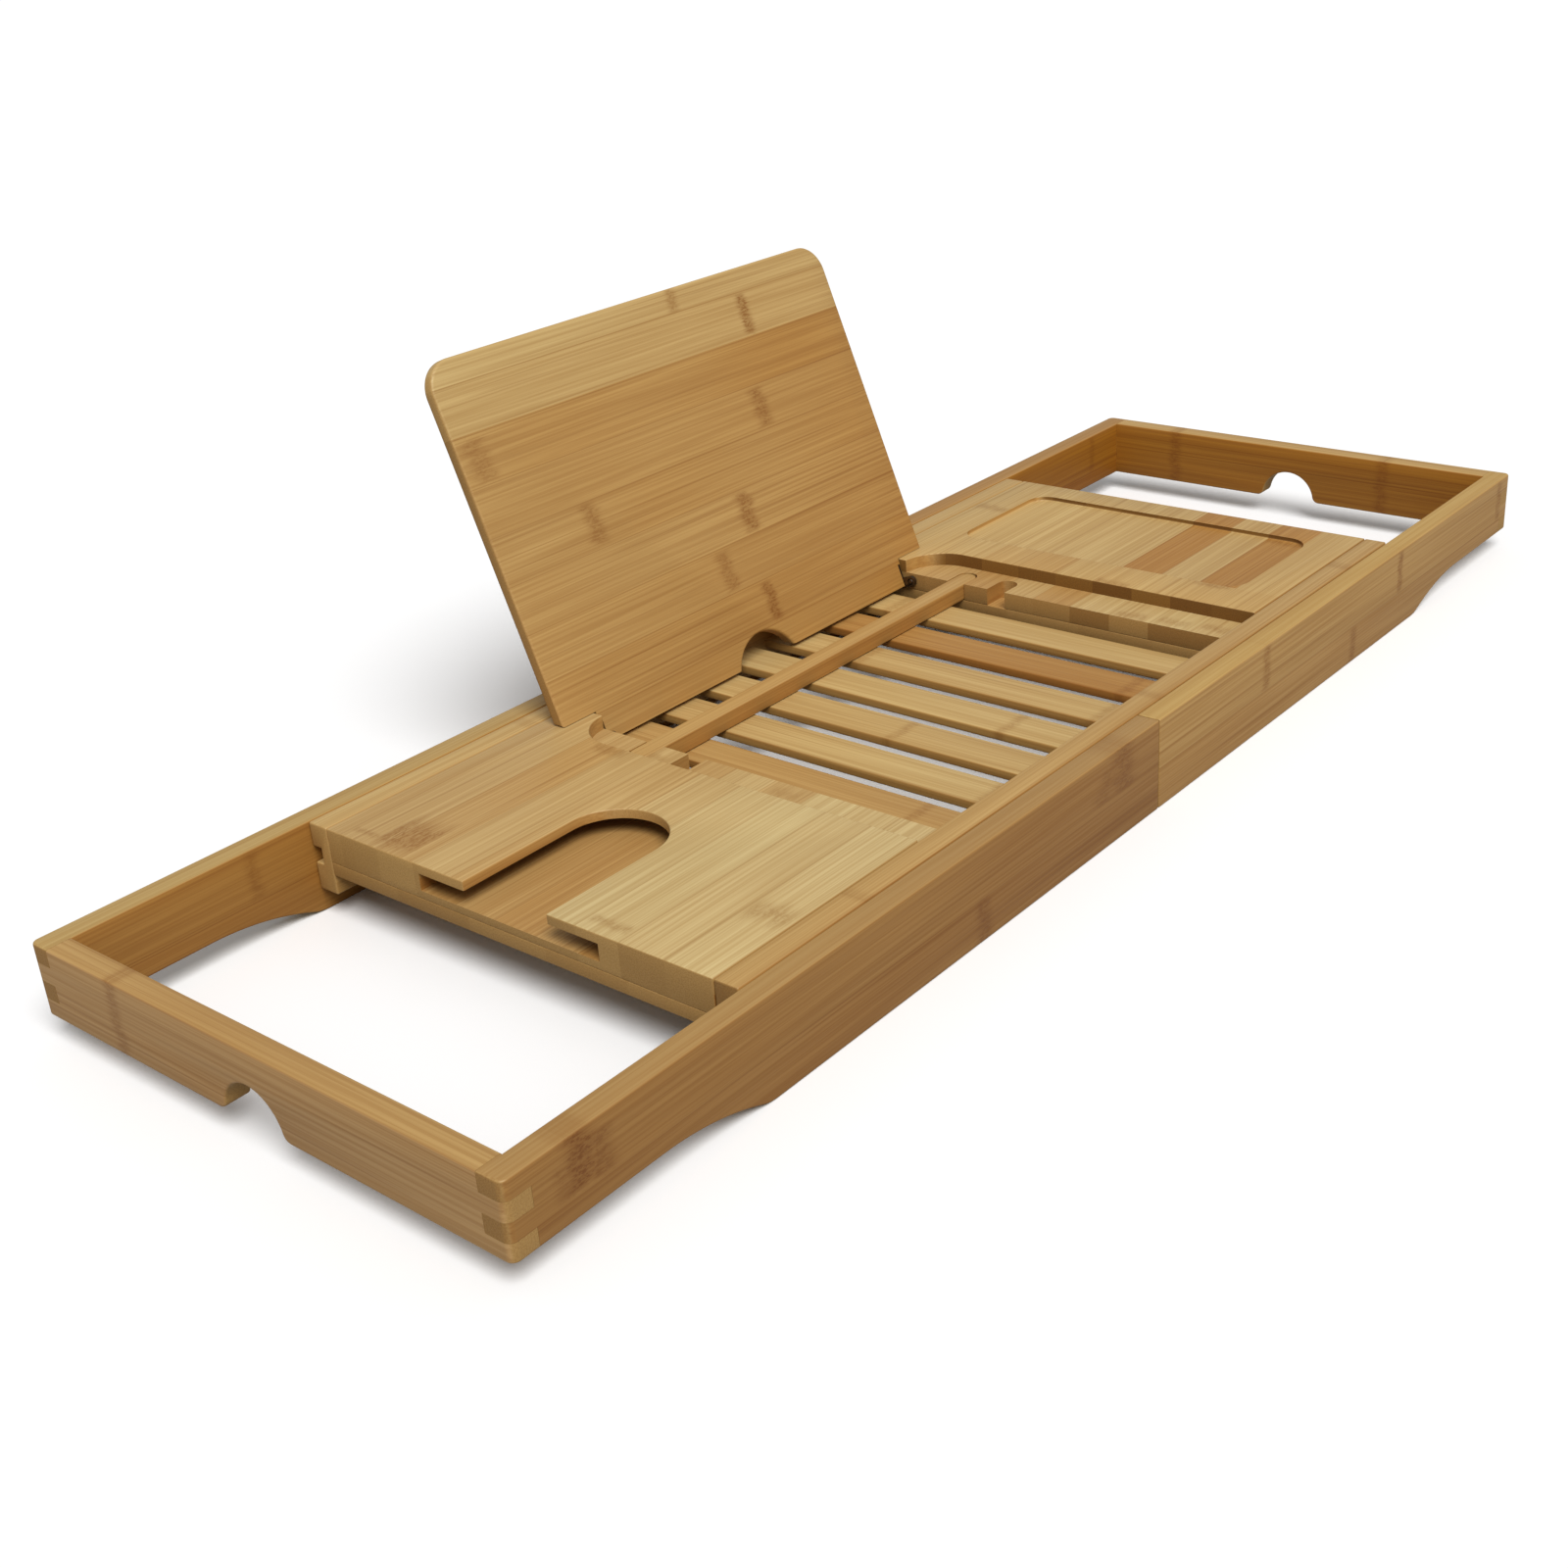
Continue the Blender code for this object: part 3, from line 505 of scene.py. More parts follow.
    def _strip_value(self, net: NodeTree, across: object, values: tuple[float, ...]) -> object:
        """Return the value of the strip that a point lies in.

        Args:
            net: the material's tree.
            across: the distance across the grain.
            values: one value for each strip, counted from first_edge.

        Returns:
            The value's socket.
        """
        count = len(values)
        ramp = net.add("ShaderNodeValToRGB", {0: net.divided(
            net.minus(across, self.first_edge), count * self.strip_width, clamp=True)})
        ramp.color_ramp.interpolation = "CONSTANT"
        stops = ramp.color_ramp.elements
        while len(stops) > 1:
            stops.remove(stops[-1])
        stops[0].position = 0.0
        for index, value in enumerate(values):
            stop = stops.new(index / count) if index else stops[0]
            stop.color = (value,) * 3 + (1.0,)
        return ramp.outputs[0]

    def _marks(self, net: NodeTree, along: object, across: object) -> object:
        """Return the joined mask of the board's culm nodes.

        Args:
            net: the material's tree.
            along: the distance along the grain.
            across: the distance across it.

        Returns:
            The mask's socket.
        """
        mask: object = 0.0
        for mark in self.marks:
            mask = net.math("MAXIMUM", mask, net.group("culm_node", {
                "Along": along, "Across": across, "Place Along": mark.along,
                "Place Across": mark.across, "Width": mark.width, "Height": mark.height,
                "Strength": mark.strength})["Mask"])
        return mask

    def _grain_frame(self, net: NodeTree) -> tuple[list[object], list[object]]:
        """Return a point's place and a face's normal in the board's grain frame.

        Args:
            net: the material's tree.

        Returns:
            The distances along, across and through the grain, and the normal's three parts.
        """
        coordinates = net.add("ShaderNodeTexCoord").outputs
        place = net.add("ShaderNodeMapping", {
            "Vector": coordinates["Object"], "Location": self.centre,
            "Rotation": (-self.lean, 0.0, 0.0)}, vector_type="TEXTURE")
        point, normal = (net.add("ShaderNodeSeparateXYZ", {0: vector}).outputs
                         for vector in (place.outputs[0], coordinates["Normal"]))
        return [point[axis] for axis in self.grain.value], [normal[axis] for axis in self.grain.value]


@dataclass(frozen=True)
class SteelFinish:
    """Dark plated steel of the screws, pins and lugs."""

    name: str = "dark_plated_steel"
    colour: Tint = (0.12, 0.10, 0.085)
    wear: float = 1.5
    marks_per_metre: float = 900.0
    roughness: float = 0.24

    def material(self) -> bpy.types.Material:
        """Build the material, with faint turning marks.

        Returns:
            The material.
        """
        material, net, shader = new_material(self.name)
        place = net.add("ShaderNodeMapping", {
            "Vector": net.add("ShaderNodeTexCoord").outputs["Object"],
            "Scale": (self.marks_per_metre,) * 3})
        marks = net.noise(place.outputs[0], 3.0, 0.6)
        worn = tuple(self.wear * part for part in self.colour)
        net.feed(shader, {
            "Base Color": net.mix(net.ramp(marks, 0.4, 0.7), (*self.colour, 1.0), (*worn, 1.0)),
            "Roughness": net.plus(net.times(marks, 0.2), self.roughness), "Metallic": 1.0})
        return material


# Mesh helpers


def arc(centre: Point, radius: float, start: float, end: float, step: float = 3.0) -> Outline:
    """Return the points of an arc.

    Args:
        centre: the arc's centre.
        radius: its radius.
        start: the first angle, in degrees.
        end: the last angle.
        step: the most degrees between points.

    Returns:
        The points, both ends included.
    """
    count = max(2, math.ceil(abs(end - start) / step))
    angles = [math.radians(start + (end - start) * i / count) for i in range(count + 1)]
    return [(centre[0] + radius * math.cos(a), centre[1] + radius * math.sin(a)) for a in angles]


def mirrored(points: Outline, sign: int) -> Outline:
    """Return the outline as it is for 1, or mirrored across its first axis for -1."""
    return points if sign > 0 else [(-x, y) for x, y in reversed(points)]


@contextmanager
def edited(mesh: bpy.types.Mesh) -> Iterator[bmesh.types.BMesh]:
    """Lend a mesh's points and faces for editing, and write them back.

    Args:
        mesh: the mesh, new or made before.

    Yields:
        Its points, edges and faces.
    """
    bm = bmesh.new()
    bm.from_mesh(mesh)
    yield bm
    bm.to_mesh(mesh)
    bm.free()


def close_skin(bm: bmesh.types.BMesh) -> None:
    """Merge points in one place and turn every face outwards."""
    bmesh.ops.remove_doubles(bm, verts=bm.verts, dist=MERGE_DISTANCE)
    bmesh.ops.recalc_face_normals(bm, faces=bm.faces)


def board_mesh(name: str, outline: Outline, low: float, high: float, place: Matrix) -> bpy.types.Mesh:
    """Extrude an outline to a closed board.

    Args:
        name: the mesh's name.
        outline: the outline in the board's own XY, anticlockwise.
        low: the lower face's height along its own Z.
        high: the upper face's height.
        place: where the board's own axes lie.

    Returns:
        The mesh, in its final place.
    """
    mesh = bpy.data.meshes.new(name)
    with edited(mesh) as bm:
        face = bm.faces.new([bm.verts.new((x, y, low)) for x, y in outline])
        raised = bmesh.ops.extrude_face_region(bm, geom=[face])["geom"]
        moved = [item for item in raised if isinstance(item, bmesh.types.BMVert)]
        bmesh.ops.translate(bm, verts=moved, vec=(0.0, 0.0, high - low))
        bmesh.ops.transform(bm, matrix=place, verts=bm.verts)
        close_skin(bm)
    return mesh


def boxes_mesh(name: str, boxes: list[Place]) -> bpy.types.Mesh:
    """Return one mesh of plain boxes that don't overlap, used only to cut other pieces.

    Args:
        name: the mesh's name.
        boxes: each box's lowest and highest corner.

    Returns:
        The mesh.
    """
    mesh = bpy.data.meshes.new(name)
    with edited(mesh) as bm:
        for low, high in boxes:
            made = bmesh.ops.create_cube(bm, size=1.0)["verts"]
            place = Matrix.Translation((high + low) / 2) @ Matrix.Diagonal((*(high - low), 1.0))
            bmesh.ops.transform(bm, matrix=place, verts=made)
    return mesh


def turned_mesh(name: str, profile: Outline, steps: int = 32) -> bpy.types.Mesh:
    """Turn a profile about Z.

    Args:
        name: the mesh's name.
        profile: (radius, height) from the lowest to the highest point, ends on the axis.
        steps: how many faces go round.

    Returns:
        A closed mesh.
    """
    mesh = bpy.data.meshes.new(name)
    with edited(mesh) as bm:
        verts = [bm.verts.new((radius, 0.0, height)) for radius, height in profile]
        edges = [bm.edges.new(pair) for pair in zip(verts, verts[1:])]
        bmesh.ops.spin(bm, geom=verts + edges, axis=(0.0, 0.0, 1.0), cent=(0.0, 0.0, 0.0),
                       steps=steps, angle=math.tau)
        close_skin(bm)
    return mesh


def new_object(name: str, mesh: bpy.types.Mesh) -> bpy.types.Object:
    """Put a mesh in the scene as an object at the origin and return it.

    Args:
        name: the object's name.
        mesh: its mesh.

    Returns:
        The object.
    """
    obj = bpy.data.objects.new(name, mesh)
    bpy.context.scene.collection.objects.link(obj)
    return obj


def freeze(piece: bpy.types.Object) -> None:
    """Turn a piece's modifiers into its plain mesh.

    Args:
        piece: the piece.
    """
    depsgraph = bpy.context.evaluated_depsgraph_get()
    depsgraph.update()
    mesh = bpy.data.meshes.new_from_object(piece.evaluated_get(depsgraph))
    old = piece.data
    piece.modifiers.clear()
    piece.data = mesh
    mesh.name = old.name
    bpy.data.meshes.remove(old)


def take_mesh(piece: bpy.types.Object) -> bpy.types.Mesh:
    """Remove a piece's object and return its mesh.

    Args:
        piece: the piece.

    Returns:
        Its mesh.
    """
    mesh = piece.data
    bpy.data.objects.remove(piece, do_unlink=True)
    return mesh


def cut(piece: bpy.types.Object, mesh: bpy.types.Mesh) -> None:
    """Take a closed mesh away from a piece for good.

    Args:
        piece: the piece.
        mesh: the closed mesh, in its final place.
    """
    tool = new_object(piece.name + "_tool", mesh)
    boolean = piece.modifiers.new("cut", "BOOLEAN")
    boolean.operation = "DIFFERENCE"
    boolean.solver = "EXACT"
    boolean.object = tool
    freeze(piece)
    bpy.data.objects.remove(tool, do_unlink=True)


def drill(piece: bpy.types.Object, start: Vector, end: Vector, radius: float) -> None:
    """Drill a hole in a piece, a little wider than what it holds.

    Args:
        piece: the piece.
        start: a point on the hole's axis, outside the piece.
        end: the middle of the hole's floor.
        radius: the radius of the pin or screw.
    """
    wide, length = radius + DRILL_ROOM, (end - start).length
    mesh = turned_mesh("drill", [(0.0, 0.0), (wide, 0.0), (wide, length), (0.0, length)])
    turn = Vector((0.0, 0.0, 1.0)).rotation_difference(end - start).to_matrix().to_4x4()
    mesh.transform(Matrix.Translation(start) @ turn)
    cut(piece, mesh)


def shade(mesh: bpy.types.Mesh) -> None:
    """Shade a mesh smooth but for its sharp edges."""
    mesh.shade_smooth()
    mesh.set_sharp_from_angle(angle=SHADED_ANGLE)


def settle(piece: bpy.types.Object) -> bpy.types.Object:
    """Clean a piece after its cuts, shade it, and return it.

    Args:
        piece: the piece.

    Returns:
        The same piece.
    """
    with edited(piece.data) as bm:
        bmesh.ops.remove_doubles(bm, verts=bm.verts, dist=MERGE_DISTANCE / 2)
    shade(piece.data)
    return piece


def soften(piece: bpy.types.Object, radius: float, segments: int = 3, glued: float = math.inf) -> None:
    """Round a piece's sharp outer edges and smooth its curved faces.

    Args:
        piece: the piece.
        radius: the rounding's width.
        segments: how many faces it has across.
        glued: the height of a glued face, whose edges stay sharp.
    """
    with edited(piece.data) as bm:
        weight = bm.edges.layers.float.new("bevel_weight_edge")
        for edge in bm.edges:
            sharp = edge.calc_face_angle_signed(0.0) > ROUNDED_ANGLE
            inside = all(abs(vert.co.z - glued) < MERGE_DISTANCE for vert in edge.verts)
            edge[weight] = 1.0 if sharp and not inside else 0.0
    bevel = piece.modifiers.new("eased_edges", "BEVEL")
    bevel.width = radius
    bevel.segments = segments
    bevel.limit_method = "WEIGHT"
    bevel.use_clamp_overlap = False
    freeze(piece)
    settle(piece)


def keep_side(piece: bpy.types.Object, facing: int) -> None:
    """Keep the near part (-1) or the far part (1) of a piece that is in two separate parts.

    Args:
        piece: the piece.
        facing: -1 or 1.
    """
    with edited(piece.data) as bm:
        gone = [vert for vert in bm.verts if facing * (vert.co.y - TRAY_CENTRE.y) < 0]
        bmesh.ops.delete(bm, geom=gone, context="VERTS")


def lead_in(points: Outline, floor: float) -> Outline:
    """Extend an outline's first edge backwards, down to a level.

    A cutter that starts like this crosses the face below its curve cleanly. For that, the curve
    starts LEAD_ANGLE degrees past its lowest point.

    Args:
        points: the outline's points, which rise from the first to the second.
        floor: the level.

    Returns:
        The points, with one or two more in front.
    """
    (x0, y0), (x1, y1) = points[:2]
    most_steps = 2.0
    step = min((y0 - floor) / (y1 - y0), most_steps)
    start = (x0 - step * (x1 - x0), y0 - step * (y1 - y0))
    return [(start[0], floor), start] + points if start[1] > floor else [start] + points


def finish_piece(piece: bpy.types.Object, material: bpy.types.Material, body: str,
                 nodes: list[str]) -> None:
    """Dress a piece, set it on its body and let it stand for its solids.

    Args:
        piece: the piece, at the origin with its place in its mesh.
        material: its finish.
        body: the body that it rides on.
        nodes: the solids that it stands for.
    """
    piece.data.materials.clear()
    piece.data.materials.append(material)
    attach(piece, body)
    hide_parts(*nodes)
    LOG.info("%s rides on %s for %s", piece.name, body, ", ".join(nodes))


def dress_node(node: str, material: bpy.types.Material) -> None:
    """Give a solid that stays in view its material.

    Args:
        node: the solid's name.
        material: its finish.
    """
    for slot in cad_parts[node].material_slots:
        slot.material = material
    LOG.info("%s keeps its solid, in %s", node, material.name)


TRAY_LOW, TRAY_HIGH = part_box("front_rail")
FRAME_LOW, FRAME_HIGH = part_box("left_end_board")
TRAY_CENTRE = Vector(((TRAY_LOW.x + TRAY_HIGH.x) / 2, (FRAME_LOW.y + FRAME_HIGH.y) / 2, 0.0))
TRAY_PLACE = Matrix.Translation(TRAY_CENTRE)
FRAME_PLACE = Matrix.Translation((0.0, TRAY_CENTRE.y, 0.0))
UPRIGHT = Matrix(((1, 0, 0, 0), (0, 0, -1, 0), (0, 1, 0, 0), (0, 0, 0, 1)))
CROSSWISE = Matrix(((0, 0, 1, 0), (1, 0, 0, 0), (0, 1, 0, 0), (0, 0, 0, 1)))


# Repeated pieces, by Geometry Nodes


def new_geometry_tree(name: str, inputs: dict[str, str]) -> tuple[NodeTree, dict[str, object]]:
    """Make a geometry tree that takes a geometry and named inputs.

    Args:
        name: the tree's name.
        inputs: each further input's kind of socket.

    Returns:
        The tree, and its inputs' sockets by name.
    """
    tree = bpy.data.node_groups.new(name, "GeometryNodeTree")
    kinds = {"Geometry": "Geometry", **inputs}
    for title, kind in kinds.items():
        tree.interface.new_socket(name=title, in_out="INPUT", socket_type="NodeSocket" + kind)
    tree.interface.new_socket(name="Geometry", in_out="OUTPUT", socket_type="NodeSocketGeometry")
    net = NodeTree(tree)
    given = net.add("NodeGroupInput").outputs
    return net, {title: given[title] for title in kinds}


def end_tree(net: NodeTree, finish: object, result: object) -> None:
    """End a geometry tree in Realize Instances and Set Material.

    Args:
        net: the tree.
        finish: the material's socket.
        result: the instances' socket.
    """
    real = net.add("GeometryNodeRealizeInstances", {0: result})
    dressed = net.add("GeometryNodeSetMaterial", {"Geometry": real.outputs[0], "Material": finish})
    net.add("NodeGroupOutput", {0: dressed.outputs[0]})


def set_choice(node: bpy.types.Node, name: str, value: str) -> None:
    """Set a node's option, which some nodes hold as an attribute and others as a menu input.

    Args:
        node: the node.
        name: the option's name as an attribute.
        value: the option in capitals.
    """
    if hasattr(node, name):
        setattr(node, name, value)
    else:
        node.inputs[name.capitalize()].default_value = value.capitalize()


def build_slat_tree() -> None:
    """Build the tree of the tray's floor: equal slats in a row, each with rounded long edges."""
    net, given = new_geometry_tree("row_of_slats", {
        "Count": "Int", "First": "Vector", "Step": "Vector", "Width": "Float", "Thickness": "Float",
        "Length": "Float", "Edge": "Float", "Finish": "Material"})
    section = net.add("GeometryNodeCurvePrimitiveQuadrilateral", {
        "Width": given["Width"], "Height": given["Thickness"]}, mode="RECTANGLE")
    rounded = net.add("GeometryNodeFilletCurve", {
        "Curve": section.outputs[0], "Radius": given["Edge"]})
    set_choice(rounded, "mode", "POLY")
    faces_per_edge = 4
    net.feed(rounded, {"Count": faces_per_edge})
    spine = net.add("GeometryNodeCurvePrimitiveLine", {
        end: net.combine(0.0, net.times(given["Length"], share), 0.0)
        for end, share in (("Start", -0.5), ("End", 0.5))})
    board = net.add("GeometryNodeCurveToMesh", {
        "Curve": spine.outputs[0], "Profile Curve": rounded.outputs[0], "Fill Caps": True})
    row = net.add("GeometryNodeMeshLine", {
        "Count": given["Count"], "Start Location": given["First"], "Offset": given["Step"]},
        mode="OFFSET")
    placed = net.add("GeometryNodeInstanceOnPoints", {
        "Points": row.outputs[0], "Instance": board.outputs[0]})
    end_tree(net, given["Finish"], placed.outputs[0])


def build_fastener_tree() -> None:
    """Build the tree that sets one fastener on every point, along the point's own direction."""
    net, given = new_geometry_tree("fasteners_on_points", {
        "Fastener": "Object", "Seed": "Int", "Finish": "Material"})
    shape = net.add("GeometryNodeObjectInfo", {"Object": given["Fastener"]})
    direction = net.add("GeometryNodeInputNamedAttribute", {"Name": "direction"},
                        data_type="FLOAT_VECTOR")
    aim = net.add("FunctionNodeAlignRotationToVector", {"Vector": direction.outputs["Attribute"]},
                  axis="Z")
    placed = net.add("GeometryNodeInstanceOnPoints", {
        "Points": given["Geometry"], "Instance": shape.outputs["Geometry"],
        "Rotation": aim.outputs[0]})
    # Input 3 and output 1 of this node are its sockets for plain numbers.
    twist = net.add("FunctionNodeRandomValue", {3: math.pi, "Seed": given["Seed"]}, data_type="FLOAT")
    turned = net.add("GeometryNodeRotateInstances", {
        "Instances": placed.outputs[0], "Rotation": net.combine(0.0, 0.0, twist.outputs[1])})
    end_tree(net, given["Finish"], turned.outputs[0])


def grow(piece: bpy.types.Object, tree: bpy.types.NodeTree, values: dict[str, object]) -> None:
    """Run a geometry tree on a piece and keep its result as a plain mesh.

    Args:
        piece: the piece.
        tree: the tree.
        values: a value for each named input.
    """
    modifier = piece.modifiers.new(tree.name, "NODES")
    modifier.node_group = tree
    for item in tree.interface.items_tree:
        if item.in_out == "INPUT" and item.name in values:
            modifier[item.identifier] = values[item.name]
    freeze(piece)
    shade(piece.data)


def fasten(stem: str, fastener: bpy.types.Mesh, places: list[Place], material: bpy.types.Material,
           seed: int, body: str) -> None:
    """Make and dress one piece of equal fasteners.

    Args:
        stem: what the solids are called before their numbers; the piece's name adds an s.
        fastener: the fastener, on Z from the origin.
        places: each one's starting point and direction.
        material: their finish.
        seed: the seed of their turns.
        body: the body that they ride on.
    """
    points = bpy.data.meshes.new(stem + "s")
    points.from_pydata([place for place, _ in places], [], [])
    directions = points.attributes.new("direction", "FLOAT_VECTOR", "POINT")
    for item, (_, direction) in zip(directions.data, places):
        item.vector = direction
    template = new_object(stem + "_template", fastener)
    piece = new_object(stem + "s", points)
    grow(piece, bpy.data.node_groups["fasteners_on_points"],
         {"Fastener": template, "Seed": seed, "Finish": material})
    bpy.data.objects.remove(template, do_unlink=True)
    finish_piece(piece, material, body,
                 [f"{stem}_{number}" for number in range(1, len(places) + 1)])


def pin_mesh(radius: float, length: float, chamfer: float) -> bpy.types.Mesh:
    """Return a plain pin with chamfered ends, on Z from the origin."""
    return turned_mesh("pin", [(0.0, 0.0), (radius - chamfer, 0.0), (radius, chamfer),
                               (radius, length - chamfer), (radius - chamfer, length), (0.0, length)])


@dataclass(frozen=True)
class Screw:
    """A flat-headed wood screw, its head's face at the origin and its point on Z."""

    head: float = 0.0020
    head_height: float = 0.0012
    rim: float = 0.0002
    neck: float = 0.0004
    radius: float = 0.001
    length: float = 0.0094
    pitch: float = 0.0008
    tip: float = 0.0018
    core_share: float = 0.72
    ring_shares: tuple[float, float, float] = (0.45, 0.65, 0.9)
    cross_depth: float = 0.0007
    arm_share: float = 0.62
    arm_half_share: float = 0.11
    second_arm_share: float = 0.9

    def mesh(self) -> bpy.types.Mesh:
        """Build the mesh, with a thread of rings and a cross in its head.

        Returns:
            The mesh.
        """
        core = self.core_share * self.radius
        profile: Outline = [(0.0, 0.0), (self.head - self.rim, 0.0), (self.head, self.rim),
                            (self.radius, self.head_height)]
        z = self.head_height + self.neck
        while z + self.pitch < self.length - self.tip:
            foot, crest, end = (z + share * self.pitch for share in self.ring_shares)
            profile += [(core, z), (core, foot), (self.radius, crest), (core, end)]
            z += self.pitch
        profile += [(core, self.length - self.tip), (0.0, self.length)]
        piece = new_object("screw", turned_mesh("screw", profile, steps=20))
        arm, half = self.arm_share * self.head, self.arm_half_share * self.head
        deep = self.cross_depth
        for corner in (Vector((arm, half, deep)), Vector((half, arm, self.second_arm_share * deep))):
            cut(piece, boxes_mesh("cross", [(Vector((-corner.x, -corner.y, -deep)), corner)]))
        return take_mesh(piece)


# The caddy's sub-assemblies


@dataclass
class SlidingFrame:
    """One U-shaped frame: two side boards and an end board with finger joints.

    The frame is made as one rounded blank, as if glued and sanded, and then parted at its joints.
    """

    side: Side
    board: float = 0.010
    half_length: float = 0.345
    half_width: float = 0.115
    top: float = 0.038
    drop: float = 0.010
    deep_half_length: float = 0.233
    knee_radius: float = 0.020
    hollow_radius: float = 0.117
    corner_round: float = 0.003
    edge_round: float = 0.0008
    grip_radius: float = 0.0145
    grip_mouth: float = 0.0035
    finger_count: int = 4
    joint_gap: float = 0.0001
    runner_from_seam: float = 0.004
    runner_length: float = 0.050
    runner_inner_y: float = 0.1003
    screw: Screw = Screw()
    screw_shares: Point = (0.22, 0.78)
    screw_height: float = 0.02475
    screw_seed: int = 3
    hole_spare: float = 0.0004

    @property
    def body(self) -> str:
        """Return the body that this frame's pieces ride on."""
        return f"{self.side.label}_frame"

    def build(self, finishes: "BoardFinishes") -> None:
        """Build and dress this frame's boards, runners and screws.

        Args:
            finishes: the board finishes.
        """
        label, honey = self.side.label, "bamboo_honey"
        blank = self._blank()
        finish_piece(self._end_board(blank), finishes.end_board(self.side), self.body,
                     [f"{label}_end_board"])
        for facing, where in ((-1, "front"), (1, "back")):
            node = f"{label}_{where}_side_board"
            finish_piece(self._side_board(blank, facing, node + "_dressed"),
                         finishes.side_board(self.side, facing), self.body, [node])
            dress_node(f"{label}_{where}_runner", finishes.hidden_board())
        bpy.data.objects.remove(blank, do_unlink=True)
        fasten(f"{label}_runner_screw", self.screw.mesh(), self._screw_places(-1) + self._screw_places(1),
               finishes.steel, self.screw_seed + self.side.value, self.body)

    def _blank(self) -> bpy.types.Object:
        """Build the frame in one piece, with every outer edge rounded.

        Returns:
            The blank.
        """
        length, width, b, r = self.half_length, self.half_width, self.board, self.corner_round
        seam = SEAM_GAP / 2
        plan = [(seam, -width)]
        plan += arc((length - r, r - width), r, -90, 0, step=9)
        plan += arc((length - r, width - r), r, 0, 90, step=9)
        plan += [(seam, width), (seam, width - b), (length - b, width - b),
                 (length - b, b - width), (seam, b - width)]
        blank = new_object("frame_blank", board_mesh(
            "frame_blank", mirrored(plan, self.side.value), 0.0, self.top, FRAME_PLACE))
        cut(blank, board_mesh("underside", mirrored(self._underside(), self.side.value),
                              -2 * width, 2 * width, UPRIGHT))
        cut(blank, board_mesh("grip", self._grip(), *self._span(length - b - OVERRUN, length + OVERRUN),
                              FRAME_PLACE @ CROSSWISE))
        soften(blank, self.edge_round, segments=4)
        return blank

    def _underside(self) -> Outline:
        """Return in XZ what is cut away below the right frame: nothing in the middle, then a rise.

        Returns:
            The cutter's outline.
        """
        reach = self.knee_radius + self.hollow_radius
        lean = math.acos(1 - self.drop / reach)
        hollow_x = self.deep_half_length + reach * math.sin(lean)
        lean = math.degrees(lean)
        rise = arc((self.deep_half_length, self.knee_radius), self.knee_radius, LEAD_ANGLE - 90,
                   lean - 90, step=2)
        rise += arc((hollow_x, self.drop - self.hollow_radius), self.hollow_radius, 90 + lean, 90,
                    step=1.2)[1:]
        far = self.half_length + OVERRUN
        return lead_in(rise, -OVERRUN) + [(far, self.drop), (far, -OVERRUN)]

    def _grip(self) -> Outline:
        """Return in YZ the finger grip that is cut into the end board's lower edge.

        Returns:
            The cutter's outline.
        """
        reach = self.grip_radius + self.grip_mouth
        mouth_y = math.sqrt(reach ** 2 - self.grip_mouth ** 2)
        lean = math.degrees(math.asin(self.grip_mouth / reach))
        half = arc((mouth_y, self.drop + self.grip_mouth), self.grip_mouth, 270 - LEAD_ANGLE,
                   180 + lean, step=6)
        half += arc((0.0, self.drop), self.grip_radius, lean, 90, step=4)[1:]
        right = lead_in(half, self.drop - OVERRUN)
        return right + mirrored(right[:-1], -1)

    def _finger_rows(self, first_row: int) -> list[Point]:
        """Return the heights of every second finger's cutter.

        Args:
            first_row: the lowest row that is counted, from 0.

        Returns:
            The rows' lowest and highest z, each grown by half the gap at its joints.
        """
        finger = (self.top - self.drop) / self.finger_count
        rows = []
        for row in range(first_row, self.finger_count, 2):
            low, high = self.drop + row * finger, self.drop + (row + 1) * finger
            low -= self.joint_gap / 2 if row else OVERRUN
            high += self.joint_gap / 2 if row < self.finger_count - 1 else OVERRUN
            rows.append((low, high))
        return rows

    def _span(self, near: float, far: float) -> Point:
        """Return a stretch of the right frame's length, mirrored to this frame's side."""
        low, high = sorted((self.side.value * near, self.side.value * far))
        return low, high

    def _box(self, x: Point, y: Point, z: Point) -> Place:
        """Return the box between two places on each axis, given for the right frame.

        Args:
            x: the places along the length.
            y: the places across it.
            z: the lowest and highest z.

        Returns:
            The box's lowest and highest corner.
        """
        corners = zip(self._span(*x), sorted(y), z)
        low, high = (Vector((a, b + TRAY_CENTRE.y, c)) for a, b, c in corners)
        return low, high

    def _end_board(self, blank: bpy.types.Object) -> bpy.types.Object:
        """Part the end board from the blank.

        Args:
            blank: the frame's blank.

        Returns:
            The end board.
        """
        piece = new_object(f"{self.side.label}_end_board_dressed", blank.data.copy())
        inner_x = self.half_length - self.board - self.joint_gap / 2
        inner_y = self.half_width - self.board - 1.5 * self.joint_gap
        cut(piece, boxes_mesh("length", [
            self._box((-OVERRUN, inner_x), (-BEYOND, BEYOND), (-OVERRUN, BEYOND))]))
        cut(piece, boxes_mesh("fingers", [
            self._box((inner_x - OVERRUN, self.half_length + OVERRUN),
                      (facing * inner_y, facing * (self.half_width + OVERRUN)), row)
            for row in self._finger_rows(1) for facing in (1, -1)]))
        return settle(piece)

